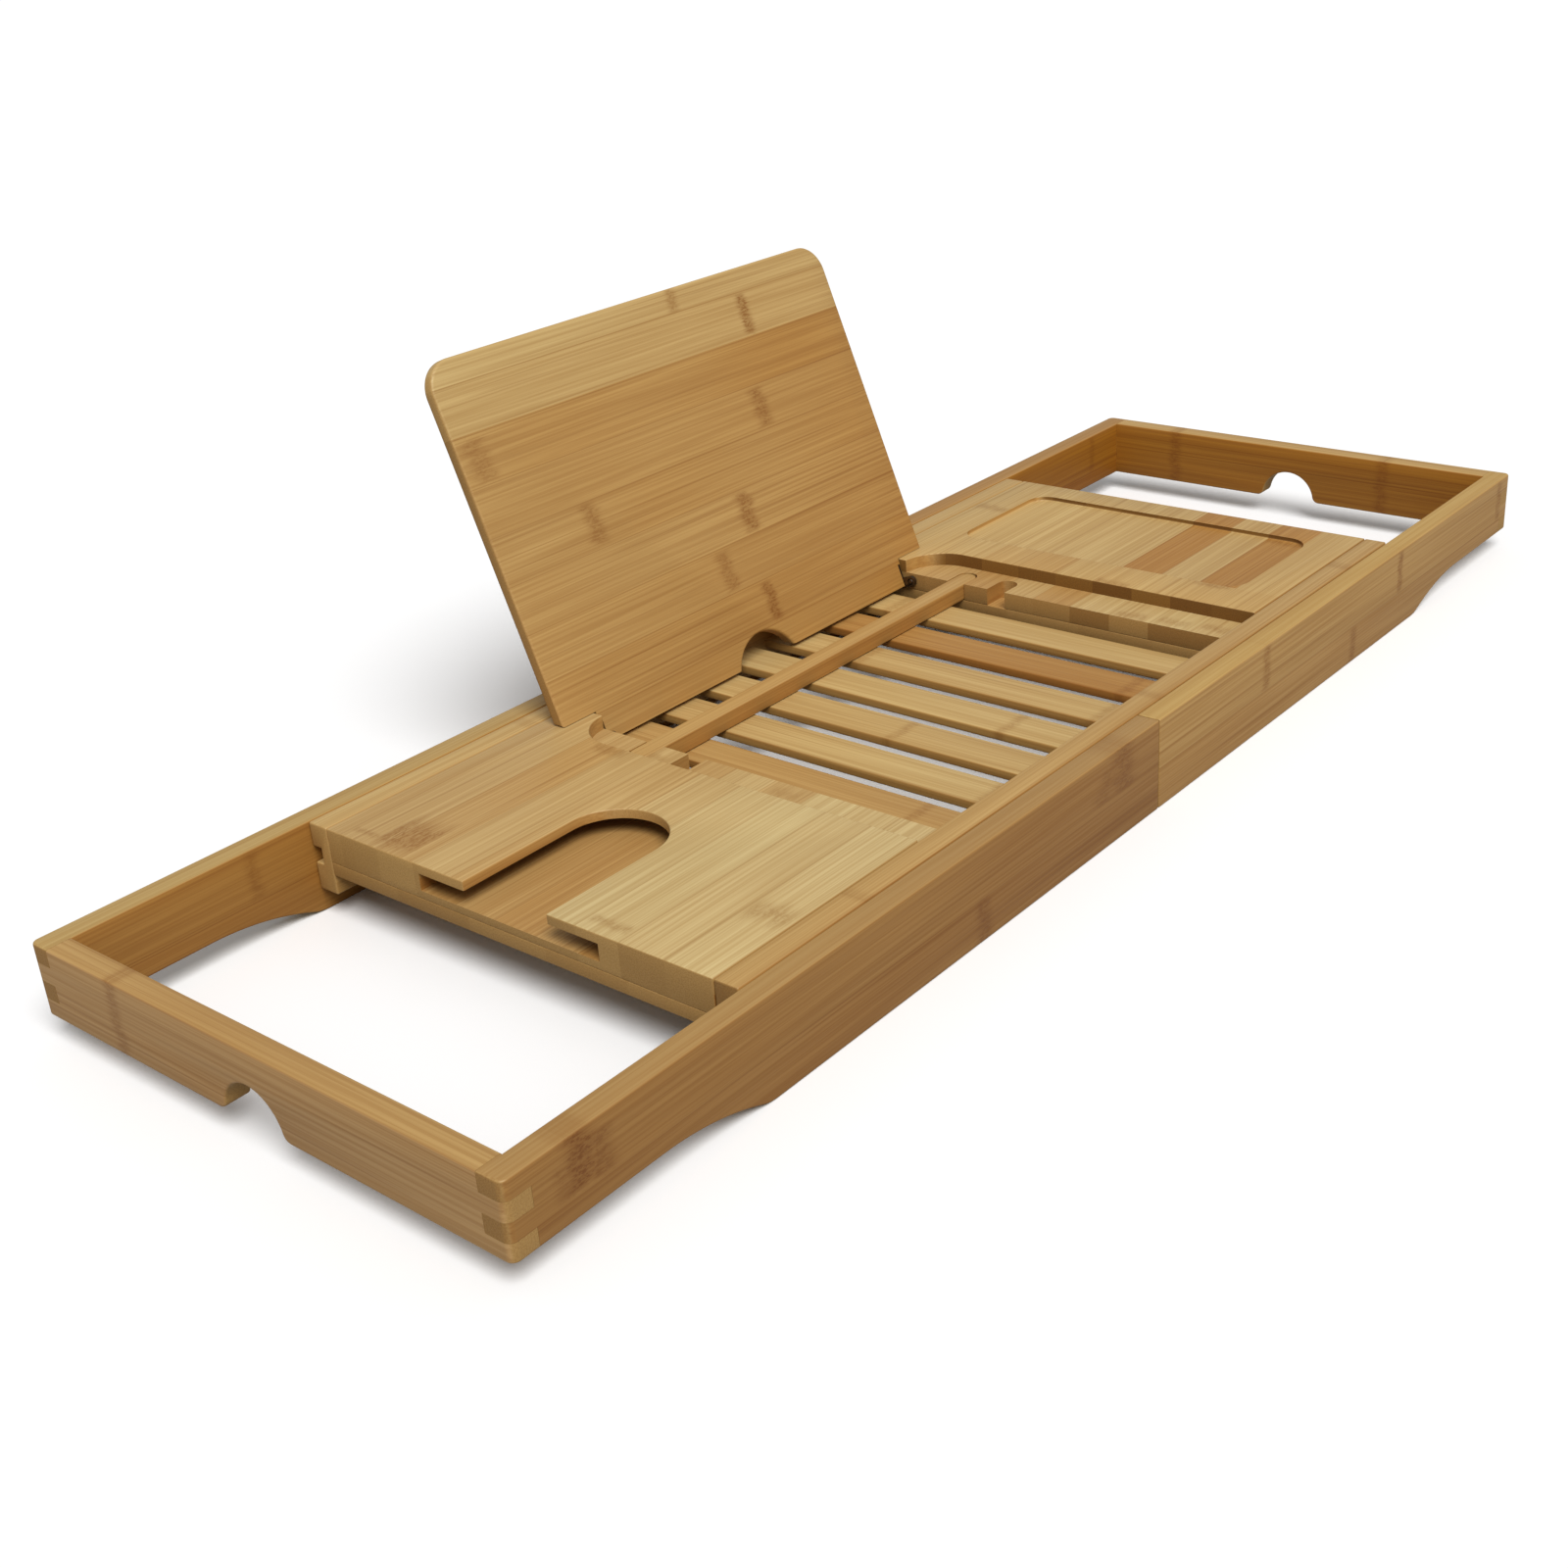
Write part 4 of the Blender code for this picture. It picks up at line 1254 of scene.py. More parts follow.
    def _side_board(self, blank: bpy.types.Object, facing: int, name: str) -> bpy.types.Object:
        """Part one side board from the blank and drill its screw holes.

        Args:
            blank: the frame's blank.
            facing: -1 for the front board or 1 for the back one.
            name: the piece's name.

        Returns:
            The side board.
        """
        piece = new_object(name, blank.data.copy())
        inner_x = self.half_length - self.board - 1.5 * self.joint_gap
        inner_y = self.half_width - self.board - self.joint_gap / 2
        outer_x, outer_y = self.half_length + OVERRUN, self.half_width + OVERRUN
        cut(piece, boxes_mesh("middle", [self._box(
            (self.half_length - self.board - OVERRUN, outer_x), (-facing * outer_y, facing * inner_y),
            (-OVERRUN, BEYOND))]))
        keep_side(piece, facing)
        cut(piece, boxes_mesh("fingers", [
            self._box((inner_x, outer_x), (facing * (inner_y - OVERRUN), facing * outer_y), row)
            for row in self._finger_rows(0)]))
        for start, direction in self._screw_places(facing):
            drill(piece, start, start + direction * (self.screw.length + self.hole_spare),
                  self.screw.radius)
        return settle(piece)

    def _screw_places(self, facing: int) -> list[Place]:
        """Return where the runner's screws start, and their direction.

        Args:
            facing: -1 for the front runner or 1 for the back one.

        Returns:
            Each screw's starting point and direction.
        """
        y = TRAY_CENTRE.y + facing * (self.runner_inner_y + SEAM_GAP)
        along = [self.side.value * (self.runner_from_seam + share * self.runner_length)
                 for share in self.screw_shares]
        return [(Vector((x, y, self.screw_height)), Vector((0.0, facing, 0.0))) for x in along]


@dataclass
class Tray:
    """The rails and the slatted floor between them, with the pegs that stop the frames."""

    half_length: float = 0.230
    rail_inner: float = 0.0945
    rail_outer: float = 0.1045
    rail_bottom: float = 0.010
    top: float = 0.038
    groove_floor: float = 0.100
    groove_low: float = 0.0215
    groove_high: float = 0.028
    edge_round: float = 0.0008
    slat_count: int = 7
    slat_width: float = 0.0192
    slat_thickness: float = 0.004
    slat_top: float = 0.024
    slat_tenon: float = 0.0032
    slat_round: float = 0.0007
    mortise_room: float = 0.0001
    mortise_lead: float = 0.002
    opening_length: float = 0.206
    peg_radius: float = 0.0025
    peg_chamfer: float = 0.0004
    peg_from_end: float = 0.006
    peg_set: float = 0.0035
    peg_hole: float = 0.006
    peg_seed: int = 11

    @property
    def pitch(self) -> float:
        """Return the distance from one slat to the next."""
        return (self.opening_length + self.slat_width) / (self.slat_count + 1)

    @property
    def first_slat_x(self) -> float:
        """Return the first slat's centre, in the tray's own X."""
        return -(self.slat_count - 1) * self.pitch / 2

    def build(self, finishes: "BoardFinishes") -> None:
        """Build and dress the rails, the slats and the pegs.

        Args:
            finishes: the board finishes.
        """
        for facing, name in ((-1, "front_rail"), (1, "back_rail")):
            finish_piece(self._rail(name, facing), finishes.rail(facing), "tray", [name])
        self._slats(finishes)
        places = [(self._peg_point(end, facing, self.peg_set - SEAM_GAP), Vector((0.0, facing, 0.0)))
                  for end in (-1, 1) for facing in (-1, 1)]
        length = self.rail_outer - self.groove_floor + self.peg_set - 2 * SEAM_GAP
        fasten("slide_stop_peg", pin_mesh(self.peg_radius, length, self.peg_chamfer), places,
               finishes.peg(), self.peg_seed, "tray")

    def _peg_point(self, end: int, facing: int, depth: float) -> Vector:
        """Return a point on a peg's axis, at a depth below its groove's floor.

        Args:
            end: -1 for the left end or 1 for the right one.
            facing: -1 for the front rail or 1 for the back one.
            depth: how far below the floor it is.

        Returns:
            The point.
        """
        return Vector((TRAY_CENTRE.x + end * (self.half_length - self.peg_from_end),
                       TRAY_CENTRE.y + facing * (self.groove_floor - depth),
                       (self.groove_low + self.groove_high) / 2))

    def _rail(self, name: str, facing: int) -> bpy.types.Object:
        """Build one rail, with the groove in its outer face and the mortises in its inner face.

        Args:
            name: the rail's solid.
            facing: -1 for the front rail or 1 for the back one.

        Returns:
            The rail.
        """
        inner, outer, floor = self.rail_inner, self.rail_outer, self.groove_floor
        profile = [(inner, self.rail_bottom), (outer, self.rail_bottom), (outer, self.groove_low),
                   (floor, self.groove_low), (floor, self.groove_high), (outer, self.groove_high),
                   (outer, self.top), (inner, self.top)]
        rail = new_object(name + "_dressed", board_mesh(
            name, mirrored(profile, facing), -self.half_length, self.half_length, TRAY_PLACE @ CROSSWISE))
        soften(rail, self.edge_round)
        cut(rail, boxes_mesh("mortises", [self._mortise(index, facing)
                                          for index in range(self.slat_count)]))
        for end in (-1, 1):
            start = self._peg_point(end, facing, self.peg_set)
            drill(rail, start, start + Vector((0.0, facing * self.peg_hole, 0.0)), self.peg_radius)
        return settle(rail)

    def _mortise(self, index: int, facing: int) -> Place:
        """Return the box of one slat's mortise in one rail.

        Args:
            index: the slat's number, from 0.
            facing: -1 for the front rail or 1 for the back one.

        Returns:
            The box's lowest and highest corner.
        """
        room = self.mortise_room
        x, half = TRAY_CENTRE.x + self.first_slat_x + index * self.pitch, self.slat_width / 2 + room
        near, far = sorted((facing * (self.rail_inner - self.mortise_lead),
                            facing * (self.rail_inner + self.slat_tenon + room)))
        return (Vector((x - half, TRAY_CENTRE.y + near, self.slat_top - self.slat_thickness - room)),
                Vector((x + half, TRAY_CENTRE.y + far, self.slat_top + room)))

    def _slats(self, finishes: "BoardFinishes") -> None:
        """Lay the slats by their tree.

        Args:
            finishes: the board finishes.
        """
        slats = new_object("tray_slats", bpy.data.meshes.new("tray_slats"))
        material = finishes.slats(self)
        grow(slats, bpy.data.node_groups["row_of_slats"], {
            "Count": self.slat_count,
            "First": (TRAY_CENTRE.x + self.first_slat_x, TRAY_CENTRE.y,
                      self.slat_top - self.slat_thickness / 2),
            "Step": (self.pitch, 0.0, 0.0), "Width": self.slat_width,
            "Thickness": self.slat_thickness, "Length": 2 * (self.rail_inner + self.slat_tenon),
            "Edge": self.slat_round, "Finish": material})
        finish_piece(slats, material, "tray",
                     [f"slat_{number}" for number in range(1, self.slat_count + 1)])


@dataclass
class Deck:
    """One end deck: a top plate on a core on a bottom board.

    The left deck holds a glass by its stem, and the right deck has a shallow soap dish.
    """

    side: Side
    half_tray: float = 0.230
    half_width: float = 0.0942
    half_opening: float = 0.103
    half_recess: float = 0.1222
    recess_far: float = 0.0767
    top: float = 0.038
    plate_bottom: float = 0.032
    core_bottom: float = 0.0241
    core_top: float = 0.032
    base_bottom: float = 0.0185
    base_top: float = 0.024
    plate_round: float = 0.0006
    layer_round: float = 0.0003
    stem_width: float = 0.041
    stem_length: float = 0.0735
    pocket_width: float = 0.088
    pocket_roof: float = 0.0038
    pocket_height: float = 0.0069
    soap_near: float = 0.1440
    soap_far: float = 0.2144
    soap_half_width: float = 0.0748
    soap_corner: float = 0.010
    soap_depth: float = 0.002
    soap_cove: float = 0.0009
    soap_reach: float = 0.006
    seat_width: float = 0.0096
    seat_far: float = 0.117
    seat_places: Point = (0.0484, 0.0261)
    seat_cut: Point = (0.010, 0.060)
    pivot: tuple[float, float, float] = (0.1080, 0.073226, 0.028489)
    pivot_radius: float = 0.00125
    pivot_lead: float = 0.002

    def build(self, finishes: "BoardFinishes") -> None:
        """Build and dress the deck's three layers.

        Args:
            finishes: the board finishes.
        """
        label = self.side.label
        for layer, build_layer, finish, slot in (
                ("top_plate", self._plate, finishes.plate, "bamboo_light"),
                ("core", self._core, finishes.core, "bamboo_honey"),
                ("bottom_board", self._base, finishes.base, "bamboo_honey")):
            finish_piece(build_layer(), finish(self.side), "tray", [f"{label}_{layer}"])
        dress_node(f"{label}_pivot_pin", finishes.steel)

    def _layer(self, name: str, outline: Outline, low: float, high: float, edge: float,
               glued: float = math.inf) -> bpy.types.Object:
        """Build one layer between two heights, with rounded edges but for a glued face's.

        Args:
            name: the layer's name.
            outline: its outline in the right deck.
            low: its lower face's height.
            high: its upper face's height.
            edge: the rounding's width.
            glued: the height of the glued face, whose edges stay sharp.

        Returns:
            The layer.
        """
        turned = mirrored(outline, self.side.value)
        layer = new_object(name, board_mesh(name, turned, low, high, TRAY_PLACE))
        soften(layer, edge, glued=glued)
        return layer

    def _layer_outline(self) -> Outline:
        """Return the outline of the core and of the bottom board."""
        return [(self.half_opening, self.half_width), (self.half_opening, -self.half_width),
                (self.half_tray, -self.half_width), (self.half_tray, self.half_width)]

    def _slot(self, half: float, mouth: float) -> Outline:
        """Return the round-ended slot for the glass, from its mouth round to its mouth again.

        Args:
            half: half the slot's width.
            mouth: the x that it opens at.

        Returns:
            The slot's outline, without the closing edge across its mouth.
        """
        centre_x = self.half_tray - self.stem_length + self.stem_width / 2
        return [(mouth, -half)] + arc((centre_x, 0.0), half, -90, -270) + [(mouth, half)]

    def _plate_outline(self) -> Outline:
        """Return the top plate's outline, cut back in a round corner for the stored rest.

        Returns:
            The outline, before it is mirrored for the left deck.
        """
        corner = self.half_recess - self.half_opening
        points = [(self.half_opening, self.half_width)]
        points += arc((self.half_opening, self.recess_far - corner), corner, 90, 0)
        points += [(self.half_recess, -self.half_width), (self.half_tray, -self.half_width)]
        if self.side is Side.LEFT:
            points += self._slot(self.stem_width / 2, self.half_tray)
        return points + [(self.half_tray, self.half_width)]

    def _pocket(self) -> bpy.types.Mesh:
        """Return the cutter of the pocket for the glass's foot.

        Returns:
            The cutter.
        """
        points = self._slot(self.pocket_width / 2, self.half_tray + OVERRUN)
        high = self.top - self.pocket_roof
        return board_mesh("pocket", mirrored(points, self.side.value), high - self.pocket_height, high,
                          TRAY_PLACE)

    def _soap_dish(self) -> bpy.types.Mesh:
        """Return the cutter of the soap dish, with a cove round its floor.

        Returns:
            The cutter.
        """
        r = self.soap_corner
        near, far, half = self.soap_near + r, self.soap_far - r, self.soap_half_width - r
        points: Outline = []
        for turn, corner in enumerate(((far, half), (near, half), (near, -half), (far, -half))):
            points += arc(corner, r, 90 * turn, 90 * turn + 90, step=6)
        return take_mesh(self._layer("soap_dish", points, self.top - self.soap_depth,
                                     self.top + self.soap_reach, self.soap_cove))

    def _plate(self) -> bpy.types.Object:
        """Build the top plate.

        Returns:
            The top plate.
        """
        plate = self._layer(f"{self.side.label}_top_plate_dressed", self._plate_outline(),
                            self.plate_bottom, self.top, self.plate_round, glued=self.plate_bottom)
        cut(plate, self._soap_dish() if self.side is Side.RIGHT else self._pocket())
        return settle(plate)

    def _core(self) -> bpy.types.Object:
        """Build the core, with the stop's two seats and the pivot's hole.

        Returns:
            The core.
        """
        core = self._layer(f"{self.side.label}_core_dressed", self._layer_outline(), self.core_bottom,
                           self.core_top, self.layer_round, glued=self.core_top)
        r, near = self.seat_width / 2, self.half_opening - OVERRUN
        for place in self.seat_places:
            points = [(near, place - r)] + arc((self.seat_far - r, place), r, -90, 90, step=6)
            points += [(near, place + r)]
            cut(core, board_mesh("seat", mirrored(points, self.side.value), *self.seat_cut, TRAY_PLACE))
        if self.side is Side.LEFT:
            cut(core, self._pocket())
        pivot_x, y, z = self.pivot
        start, end = (Vector((TRAY_CENTRE.x + self.side.value * x, TRAY_CENTRE.y + y, z))
                      for x in (self.half_opening - self.pivot_lead, pivot_x + SEAM_GAP))
        drill(core, start, end, self.pivot_radius)
        return settle(core)

    def _base(self) -> bpy.types.Object:
        """Build the bottom board."""
        return settle(self._layer(f"{self.side.label}_bottom_board_dressed", self._layer_outline(),
                                  self.base_bottom, self.base_top, self.layer_round))


@dataclass
class BookStop:
    """The bar with round ends that keeps a book from sliding off the rest."""

    half_length: float = 0.116
    width: float = 0.009
    place_y: float = 0.0484
    bottom: float = 0.0243
    top: float = 0.032
    edge_round: float = 0.0007

    def build(self, finishes: "BoardFinishes") -> None:
        """Build and dress the bar.

        Args:
            finishes: the board finishes.
        """
        r = self.width / 2
        points = arc((self.half_length - r, self.place_y), r, -90, 90, step=9)
        points += arc((r - self.half_length, self.place_y), r, 90, 270, step=9)
        bar = new_object("book_stop_bar_dressed", board_mesh(
            "book_stop_bar", points, self.bottom, self.top, TRAY_PLACE))
        soften(bar, self.edge_round, segments=4)
        finish_piece(settle(bar), finishes.stop(), "tray", ["book_stop_bar"])


@dataclass
class BookRest:
    """The leaning panel and its steel hinge parts."""

    half_width: float = 0.12085
    tongue_half: float = 0.1007
    collar_half: float = 0.1024
    collar_z: float = 0.0358
    thickness: float = 0.0055
    lean: float = math.radians(21)
    face_y: float = 0.08096
    face_z: float = 0.038
    low: float = -0.0167
    high: float = 0.15045
    corner: float = 0.013
    ear_corner: float = 0.001
    edge_round: float = 0.0013
    ear_z: float = 0.0383
    foot_z: float = 0.0260
    seat_reach: float = 0.020
    notch_radius: float = 0.0194
    notch_centre: float = -0.020675
    pin_radius: float = 0.001
    pin_length: float = 0.0095
    pin_chamfer: float = 0.0002
    pin_lead: float = 0.002
    pin_seed: int = 5

    @property
    def place(self) -> Matrix:
        """Return the turn and shift from the rest's own axes, on its front face, to the scene's."""
        shift = Matrix.Translation((TRAY_CENTRE.x, TRAY_CENTRE.y + self.face_y, self.face_z))
        return shift @ Matrix.Rotation(-self.lean, 4, "X")

    def build(self, finishes: "BoardFinishes") -> None:
        """Build and dress the panel, its pins and its lugs.

        Args:
            finishes: the board finishes.
        """
        panel = new_object("book_rest_panel_dressed", board_mesh(
            "book_rest_panel", self._panel_outline(), -self.thickness, 0.0, self.place @ UPRIGHT))
        soften(panel, self.edge_round, segments=4)
        cut(panel, self._seat())
        pins = self._pin_places()
        for start, direction in pins:
            drill(panel, start - direction * self.pin_lead,
                  start + direction * (self.pin_length + DRILL_ROOM), self.pin_radius)
        finish_piece(settle(panel), finishes.panel(self), "book_rest", ["book_rest_panel"])
        fasten("lug_pin", pin_mesh(self.pin_radius, self.pin_length, self.pin_chamfer), pins,
               finishes.steel, self.pin_seed, "book_rest")
        for side in Side:
            dress_node(f"{side.label}_pivot_lug", finishes.steel)

    def _panel_outline(self) -> Outline:
        """Return the panel's outline, with round upper corners and the cable notch below.

        Returns:
            The outline in the panel's own plane.
        """
        half, r = self.half_width, self.corner
        swing = math.degrees(math.asin((self.low - self.notch_centre) / self.notch_radius))
        outline = arc((half - r, self.high - r), r, 0, 90) + arc((r - half, self.high - r), r, 90, 180)
        outline += [(-half, self.low)]
        return outline + arc((0.0, self.notch_centre), self.notch_radius, 180 - swing, swing) + [
            (half, self.low)]

    def _seat(self) -> bpy.types.Mesh:
        """Return the level cutter below the foot, the collar over the lugs and the ears.

        Returns:
            The cutter.
        """
        ear, far = self.ear_corner, self.half_width + OVERRUN
        right = [(self.tongue_half, self.foot_z), (self.tongue_half, self.collar_z),
                 (self.collar_half, self.collar_z), (self.collar_half, self.ear_z)]
        right += arc((self.half_width - ear, self.ear_z + ear), ear, 270, 360, step=6)
        right += [(far, self.ear_z + ear), (far, 0.0)]
        place = Matrix.Translation((TRAY_CENTRE.x, TRAY_CENTRE.y + self.face_y, 0.0)) @ UPRIGHT
        outline = right + mirrored(right, -1)
        return board_mesh("rest_seat", outline, -self.seat_reach, self.seat_reach, place)

    def _pin_places(self) -> list[Place]:
        """Return where the lug pins start, and their direction, from the solids' own boxes.

        Returns:
            Each pin's starting point and direction.
        """
        places = []
        for number in range(1, 5):
            low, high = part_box(f"lug_pin_{number}")
            left = low.x < TRAY_CENTRE.x
            middle = (low + high) / 2
            middle.x = low.x if left else high.x
            places.append((middle, Vector((1.0 if left else -1.0, 0.0, 0.0))))
        return places


def nodes_at(*rows: tuple[float, ...]) -> tuple[NodeMark, ...]:
    """Return culm nodes.

    Args:
        rows: for each its place along and across the grain, its height, width and strength.

    Returns:
        The nodes.
    """
    return tuple(NodeMark(*row) for row in rows)


@dataclass
class BoardFinishes:
    """The finish of every board, with its strips and culm nodes laid out as in the photograph."""

    strip: float = 0.020
    first_edge: float = -0.1063
    left_ends: tuple[float, ...] = (0.35, 0.45, 0.1, 0.3, 0.3, 0.3, 0.25, 0.0, 0.2, 0.05)
    left_pale: Tint = (0.66, 0.52, 0.25)
    steel: bpy.types.Material = field(init=False)
    ready: dict[str, bpy.types.Material] = field(default_factory=dict)

    def __post_init__(self) -> None:
        """Build the steel."""
        self.steel = SteelFinish().material()

    def _made(self, name: str, grain: Grain, tones: tuple[float, ...], strip_width: float,
              first_edge: float, **looks: object) -> bpy.types.Material:
        """Return a board's material, built once.

        Args:
            name: the board's name.
            grain: how its fibres lie.
            tones: one tone for each strip.
            strip_width: the strips' width.
            first_edge: where the first strip starts.
            looks: the finish's other fields.

        Returns:
            The material.
        """
        if name not in self.ready:
            self.ready[name] = BambooFinish(
                f"bamboo_{name}", grain, tones, strip_width, first_edge, **looks).material()
        return self.ready[name]

    def side_board(self, side: Side, facing: int) -> bpy.types.Material:
        """Return the finish of one side board.

        Args:
            side: the frame's end of the caddy.
            facing: -1 for the front board or 1 for the back one.

        Returns:
            The material.
        """
        # The edge tints here fall on the boards' tops: partly their own colour and partly painted light and
        # shade.
        edge, marks = {
            (Side.LEFT, -1): (UNTINTED, nodes_at(
                (-0.3165, 0.0285, 0.021, 0.007, 0.9), (-0.3080, 0.0260, 0.017, 0.006, 0.6),
                (-0.3235, 0.0240, 0.013, 0.004, 0.4), (-0.0270, 0.0290, 0.021, 0.009, 0.6),
                (-0.0390, 0.0260, 0.014, 0.007, 0.4), (-0.1196, 0.0075, 0.021, 0.005, 0.55))),
            (Side.RIGHT, -1): ((1.13, 1.16, 1.06), nodes_at(
                (0.2172, 0.0275, 0.021, 0.0030, 0.75), (0.1700, 0.0065, 0.021, 0.0035, 0.65),
                (0.0875, 0.0275, 0.021, 0.0035, 0.65), (0.3320, 0.0275, 0.021, 0.0030, 0.6))),
            (Side.LEFT, 1): ((1.16, 1.30, 1.35), nodes_at(
                (-0.2620, 0.0275, 0.021, 0.0035, 0.4), (-0.1100, 0.0065, 0.021, 0.0035, 0.6))),
            (Side.RIGHT, 1): ((0.88, 0.77, 0.70), nodes_at(
                (0.3086, 0.0275, 0.021, 0.0030, 0.4), (0.1200, 0.0065, 0.021, 0.0035, 0.6))),
        }[side, facing]
        # outer and inner are painted shade on the boards' outer and inner faces.
        if side is Side.LEFT:
            tones, outer, inner = (0.40, 0.30), (0.70, 0.54, 0.38), (0.82, 0.60, 0.33)
        else:
            tones, outer, inner = (0.28, 0.05), (0.85, 0.72, 0.60), (0.62, 0.355, 0.075)
        low_face, high_face = (outer, inner) if facing < 0 else (inner, outer)
        return self._made(
            f"{side.label}_side_{facing + 1}", Grain.RAIL, tones, strip_width=0.021,
            first_edge=-0.004, marks=marks, end_tones=(0.8, 0.95),
            seed=2.0 + side.value + 0.3 * facing, drift=0.25, edge=edge, low_face=low_face,
            high_face=high_face)

    def end_board(self, side: Side) -> bpy.types.Material:
        """Return the finish of one end board.

        Args:
            side: the frame's end of the caddy.

        Returns:
            The material.
        """
        # The two face tints are painted shade on the end board's outer and inner faces.
        if side is Side.LEFT:
            tone, places = 0.55, (0.0568,)
            low_face, high_face = (1.0, 0.96, 1.05), (0.77, 0.58, 0.38)
        else:
            tone, places = 0.35, (0.0556, -0.0644)
            low_face, high_face = (0.79, 0.50, 0.14), (0.82, 0.67, 0.52)
        return self._made(
            f"{side.label}_end", Grain.END, (tone,), strip_width=0.034, first_edge=0.007,
            end_tones=(0.45,),
            marks=nodes_at(*((place, 0.024, 0.040, 0.004, 0.5) for place in places)),
            seed=6.0 + side.value, drift=0.25, edge=UNTINTED, low_face=low_face, high_face=high_face)

    def rail(self, facing: int) -> bpy.types.Material:
        """Return the finish of one rail.

        Args:
            facing: -1 for the front rail or 1 for the back one.

        Returns:
            The material.
        """
        tone, end_tone = (0.20, 0.3) if facing > 0 else (0.45, 1.0)
        # face is painted shade on the rail's inner and outer faces.
        face = (0.9, 0.76, 0.58)
        return self._made(
            f"rail_{facing + 1}", Grain.RAIL, (tone,), strip_width=0.034, first_edge=0.007,
            end_tones=(end_tone,),
            marks=nodes_at(*((facing * 0.02 + place, 0.024, 0.034, 0.0035, 0.4)
                             for place in (-0.150, 0.040, 0.205))),
            seed=9.0 + facing, drift=0.25, edge=UNTINTED, low_face=face, high_face=face)

    def plate(self, side: Side) -> bpy.types.Material:
        """Return the finish of one deck's top plate.

        Args:
            side: the deck's end of the caddy.

        Returns:
            The material.
        """
        if side is Side.LEFT:
            tones = (0.10, 0.18, 0.08, 0.08, 0.28, 0.52, 0.48, 0.60, 0.50, 0.52)
            looks = {"end_tones": self.left_ends, "pale": self.left_pale, "marks": nodes_at(
                (-0.2225, 0.0500, 0.0215, 0.0130, 0.8), (-0.2262, 0.0500, 0.0215, 0.0080, 0.7),
                (-0.2290, -0.0560, 0.019, 0.0030, 0.5), (-0.1950, -0.0960, 0.019, 0.0070, 0.5),
                (-0.1320, 0.0380, 0.018, 0.0040, 0.4), (-0.2295, 0.0640, 0.019, 0.0020, 0.45))}
        else:
            tones = (0.30, 0.35, 0.20, 0.30, 0.20, 0.45, 0.35, 0.10, 0.15, 0.12)
            # The tint on the cut ends that look towards the caddy's middle is painted shade.
            looks = {"end_tones": (0.7, 0.9, 0.2, 0.95, 0.3, 0.6, 0.25, 0.8, 0.4, 0.6),
                     "far_tones": (0.20, 0.98, 0.20, 1.0, 0.15, 0.10, 0.12, 0.05, 0.15, 0.12),
                     "far_from": 0.138, "low_end": (0.47, 0.38, 0.20), "marks": nodes_at(
                         (0.180, 0.072, 0.019, 0.004, 0.5), (0.137, -0.075, 0.019, 0.0035, 0.5),
                         (0.205, -0.075, 0.019, 0.0035, 0.4), (0.118, -0.035, 0.019, 0.0035, 0.5))}
        # The underside tint is painted shade: it darkens the plate's underside, so the pocket and recess
        # under it look deeper in shadow.
        return self._made(f"{side.label}_plate", Grain.DECK, tones, self.strip, self.first_edge,
                          deep=(0.455, 0.228, 0.054), low_face=(0.5, 0.36, 0.22),
                          seed=12.0 + side.value, **looks)

    def core(self, side: Side) -> bpy.types.Material:
        """Return the finish of one deck's core.

        Args:
            side: the deck's end of the caddy.

        Returns:
            The material.
        """
        if side is Side.LEFT:
            tones = (0.80, 0.68, 0.84, 0.72, 0.80, 0.76, 0.82, 0.72, 0.77, 0.65)
            looks = {"end_tones": self.left_ends, "pale": self.left_pale,
                     "far_tones": (0.18, 0.22, 0.14, 0.50, 0.30, 0.46, 0.42, 0.48, 0.48, 0.50),
                     "far_from": -0.135, "marks": nodes_at(
                         (-0.116, -0.036, 0.014, 0.0040, 0.3), (-0.118, 0.028, 0.012, 0.0030, 0.4))}
        else:
            tones = (0.25, 0.15, 0.2, 0.25, 0.8, 0.45, 0.8, 0.6, 0.5, 0.5)
            looks = {"end_tones": (0.9, 0.95, 0.2, 0.9, 0.35, 0.25, 0.5, 0.4, 0.6, 0.5),
                     "pale": (0.65, 0.49, 0.225), "marks": nodes_at(
                         *((0.101 + 0.002 * step, place, 0.016, 0.004, 0.5)
                           for step, place in enumerate((-0.055, -0.075, -0.095))))}
        return self._made(f"{side.label}_core", Grain.DECK, tones, self.strip, self.first_edge,
                          seed=16.0 + side.value, **looks)

    def base(self, side: Side) -> bpy.types.Material:
        """Return the finish of one deck's bottom board.

        Args:
            side: the deck's end of the caddy.

        Returns:
            The material.
        """
        places = ((0.140, -0.0875), (0.205, -0.0115), (0.165, 0.0265), (0.190, 0.0645))
        return self._made(
            f"{side.label}_base", Grain.DECK, (0.5, 0.6, 0.45, 0.65, 0.5), strip_width=0.038,
            first_edge=-0.1065,
            marks=nodes_at(*((side.value * along, across, 0.036, 0.003, 0.5)
                             for along, across in places)),
            seed=20.0 + side.value)

    def slats(self, tray: Tray) -> bpy.types.Material:
        """Return the slats' finish, one strip for each slat.

        Args:
            tray: the tray, for the places of its slats.

        Returns:
            The material.
        """
        first = TRAY_CENTRE.x + tray.first_slat_x - tray.pitch / 2
        places = ((1, -0.078), (2, 0.046), (3, -0.030), (4, -0.064), (5, 0.030), (6, -0.085),
                  (7, 0.055), (2, -0.092), (5, -0.090))
        # The default edge tint darkens the slats' sides: partly their own colour and partly painted shade.
        return self._made(
            "slats", Grain.SLAT, (0.55, 0.12, 0.10, 0.05, 0.12, 0.95, 0.08),
            strip_width=tray.pitch, first_edge=first,
            marks=nodes_at(*((along, first + (slat - 0.5) * tray.pitch, 0.024, 0.003, 0.45)
                             for slat, along in places)), seed=24.0, glue=0.0)

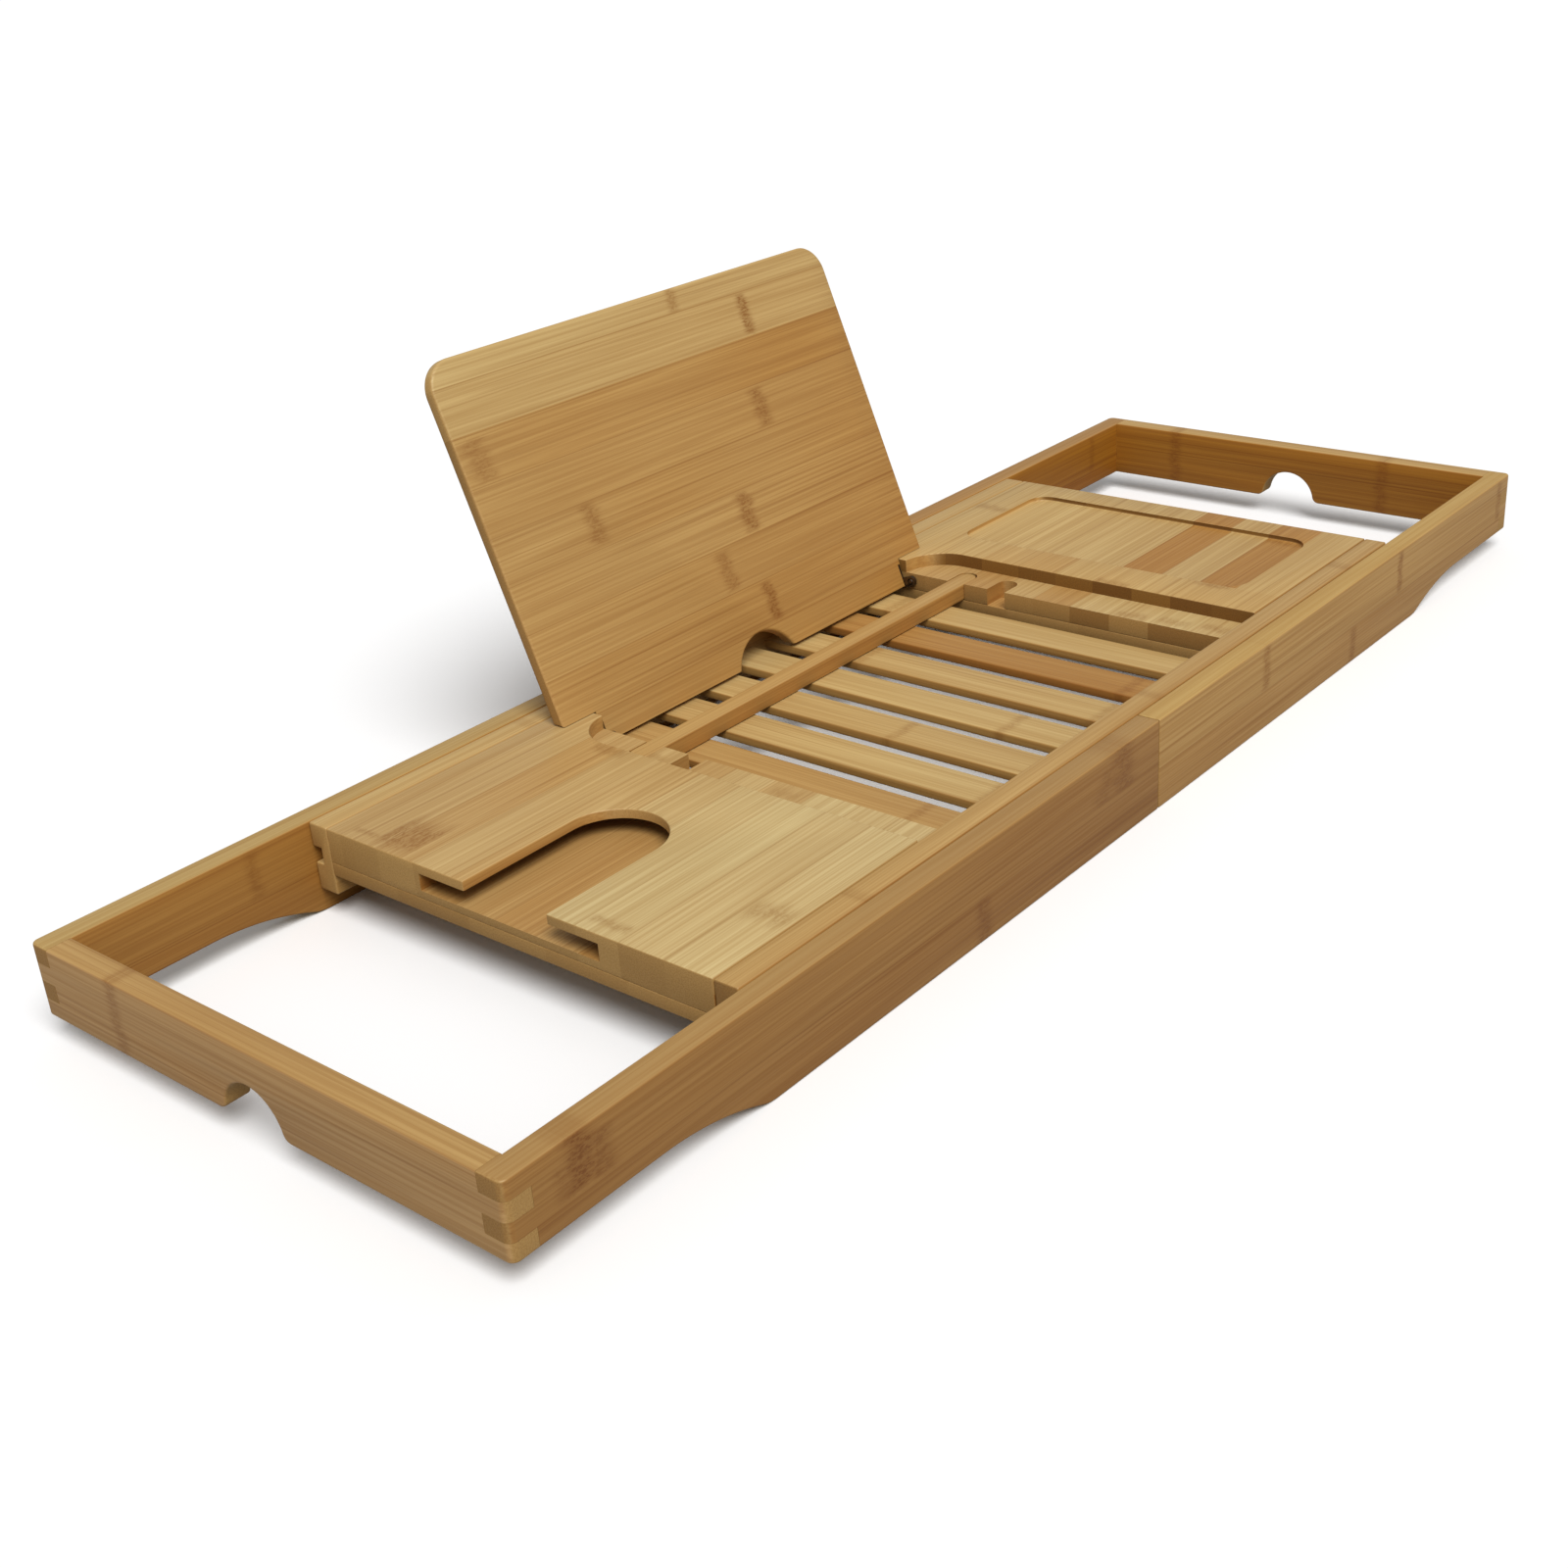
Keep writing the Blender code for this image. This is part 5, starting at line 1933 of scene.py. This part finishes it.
    def stop(self) -> bpy.types.Material:
        """Return the book stop's finish."""
        return self._made("book_stop", Grain.DECK, (0.5,), strip_width=0.03, first_edge=0.021, seed=27.0)

    def hidden_board(self) -> bpy.types.Material:
        """Return the runners' finish."""
        return self._made("runner", Grain.RAIL, (0.7,), strip_width=0.03, first_edge=0.01, seed=29.0)

    def peg(self) -> bpy.types.Material:
        """Return the toasted pegs' finish."""
        return self._made("peg", Grain.END, (1.0,), strip_width=0.03, first_edge=0.01, seed=31.0,
                          deep=(0.33, 0.17, 0.06))

    def panel(self, rest: BookRest) -> bpy.types.Material:
        """Return the book rest's finish; its strips are stacked up the lean.

        Args:
            rest: the book rest, for its lean and place.

        Returns:
            The material.
        """
        tones = (0.88, 0.82, 0.76, 0.68, 0.70, 0.72, 0.76, 0.30, 0.12)
        marks = nodes_at(
            (0.0126, 0.1452, 0.0112, 0.0040, 0.6), (0.0538, 0.1300, 0.019, 0.0040, 1.0),
            (0.0430, 0.0895, 0.019, 0.0055, 0.7), (-0.1173, 0.1095, 0.019, 0.0065, 0.5),
            (-0.0733, 0.0700, 0.019, 0.0055, 0.6), (0.0122, 0.0492, 0.019, 0.0055, 0.8),
            (-0.0118, 0.0290, 0.019, 0.0050, 0.6), (0.0081, 0.0090, 0.019, 0.0040, 0.9))
        return self._made(
            "book_rest", Grain.RAIL, tones, strip_width=0.0201, first_edge=-0.0210, marks=marks,
            seed=34.0, fade=1.2, deep=(0.450, 0.230, 0.054), edge=UNTINTED, lean=rest.lean,
            centre=(0.0, TRAY_CENTRE.y + rest.face_y, rest.face_z))


@dataclass
class Studio:
    """The camera at the photograph's angle, a pale floor and soft light."""

    place: tuple[float, float, float] = (-0.61213, -0.47392, 0.35915)
    target: tuple[float, float, float] = (-0.11895, -0.03870, 0.038)
    roll: float = math.radians(-4.384)
    lens: float = 45.62
    sensor: float = 36.0
    floor_size: float = 12.0
    floor_seen: float = 0.98
    floor_bounce: float = 0.36
    floor_roughness: float = 0.9
    room_light: float = 0.36
    softbox_power: float = 2.75
    softbox_width: float = math.radians(36)
    softbox_direction: tuple[float, float, float] = (0.30, 0.48, -0.80)

    def build(self) -> None:
        """Set the camera, the floor and the lights."""
        self._camera()
        self._floor()
        self._softbox()
        world = bpy.data.worlds.new("soft_room")
        world.use_nodes = True
        net = NodeTree(world.node_tree)
        seen = net.add("ShaderNodeLightPath").outputs["Is Camera Ray"]
        net.feed(world.node_tree.nodes["Background"], {
            "Color": (1.0, 1.0, 1.0, 1.0), "Strength": net.math("MAXIMUM", seen, self.room_light)})
        bpy.context.scene.world = world
        bpy.context.scene.view_settings.view_transform = "Standard"

    @staticmethod
    def _aimed(name: str, data: bpy.types.ID, direction: Vector, roll: float = 0.0) -> bpy.types.Object:
        """Put a camera or a light in the scene.

        Args:
            name: its name.
            data: the camera or the light.
            direction: where it looks.
            roll: its turn about that direction.

        Returns:
            Its object.
        """
        obj = bpy.data.objects.new(name, data)
        bpy.context.scene.collection.objects.link(obj)
        look = direction.to_track_quat("-Z", "Y")
        obj.rotation_euler = (look @ Quaternion((0.0, 0.0, 1.0), roll)).to_euler()
        return obj

    def _camera(self) -> None:
        """Set the camera."""
        data = bpy.data.cameras.new("photo_camera")
        data.lens = self.lens
        data.sensor_width = self.sensor
        camera = self._aimed("photo_camera", data, Vector(self.target) - Vector(self.place), self.roll)
        camera.location = self.place
        bpy.context.scene.camera = camera

    def _floor(self) -> None:
        """Lay the floor, which looks pale and throws little light back up."""
        mesh = bpy.data.meshes.new("studio_floor")
        half = self.floor_size / 2
        corners = [(x * half, y * half, 0.0) for x, y in ((-1, -1), (1, -1), (1, 1), (-1, 1))]
        mesh.from_pydata(corners, [], [(0, 1, 2, 3)])
        floor = new_object("studio_floor", mesh)
        material, net, shader = new_material("pale_floor")
        seen = net.add("ShaderNodeLightPath").outputs["Is Camera Ray"]
        colour = net.mix(seen, (*(self.floor_bounce,) * 3, 1.0), (*(self.floor_seen,) * 3, 1.0))
        net.feed(shader, {"Base Color": colour, "Roughness": self.floor_roughness,
                          "Specular IOR Level": 0.0})
        mesh.materials.append(material)

    def _softbox(self) -> None:
        """Hang one broad, soft light above the caddy."""
        data = bpy.data.lights.new("broad_softbox", "SUN")
        data.energy = self.softbox_power
        data.angle = self.softbox_width
        self._aimed("broad_softbox", data, Vector(self.softbox_direction))


def main() -> None:
    """Build the studio and the caddy, sub-assembly by sub-assembly."""
    logging.basicConfig(level=logging.INFO, format="%(name)s: %(message)s")
    for build_group in (build_strip_group, build_fibre_group, build_mark_group,
                        build_end_grain_group, build_slat_tree, build_fastener_tree):
        build_group()
    Studio().build()
    finishes = BoardFinishes()
    parts = [SlidingFrame(side) for side in Side] + [Tray()] + [Deck(side) for side in Side]
    for part in parts + [BookStop(), BookRest()]:
        LOG.info("building %s", type(part).__name__)
        part.build(finishes)


if __name__ == "__main__":
    main()
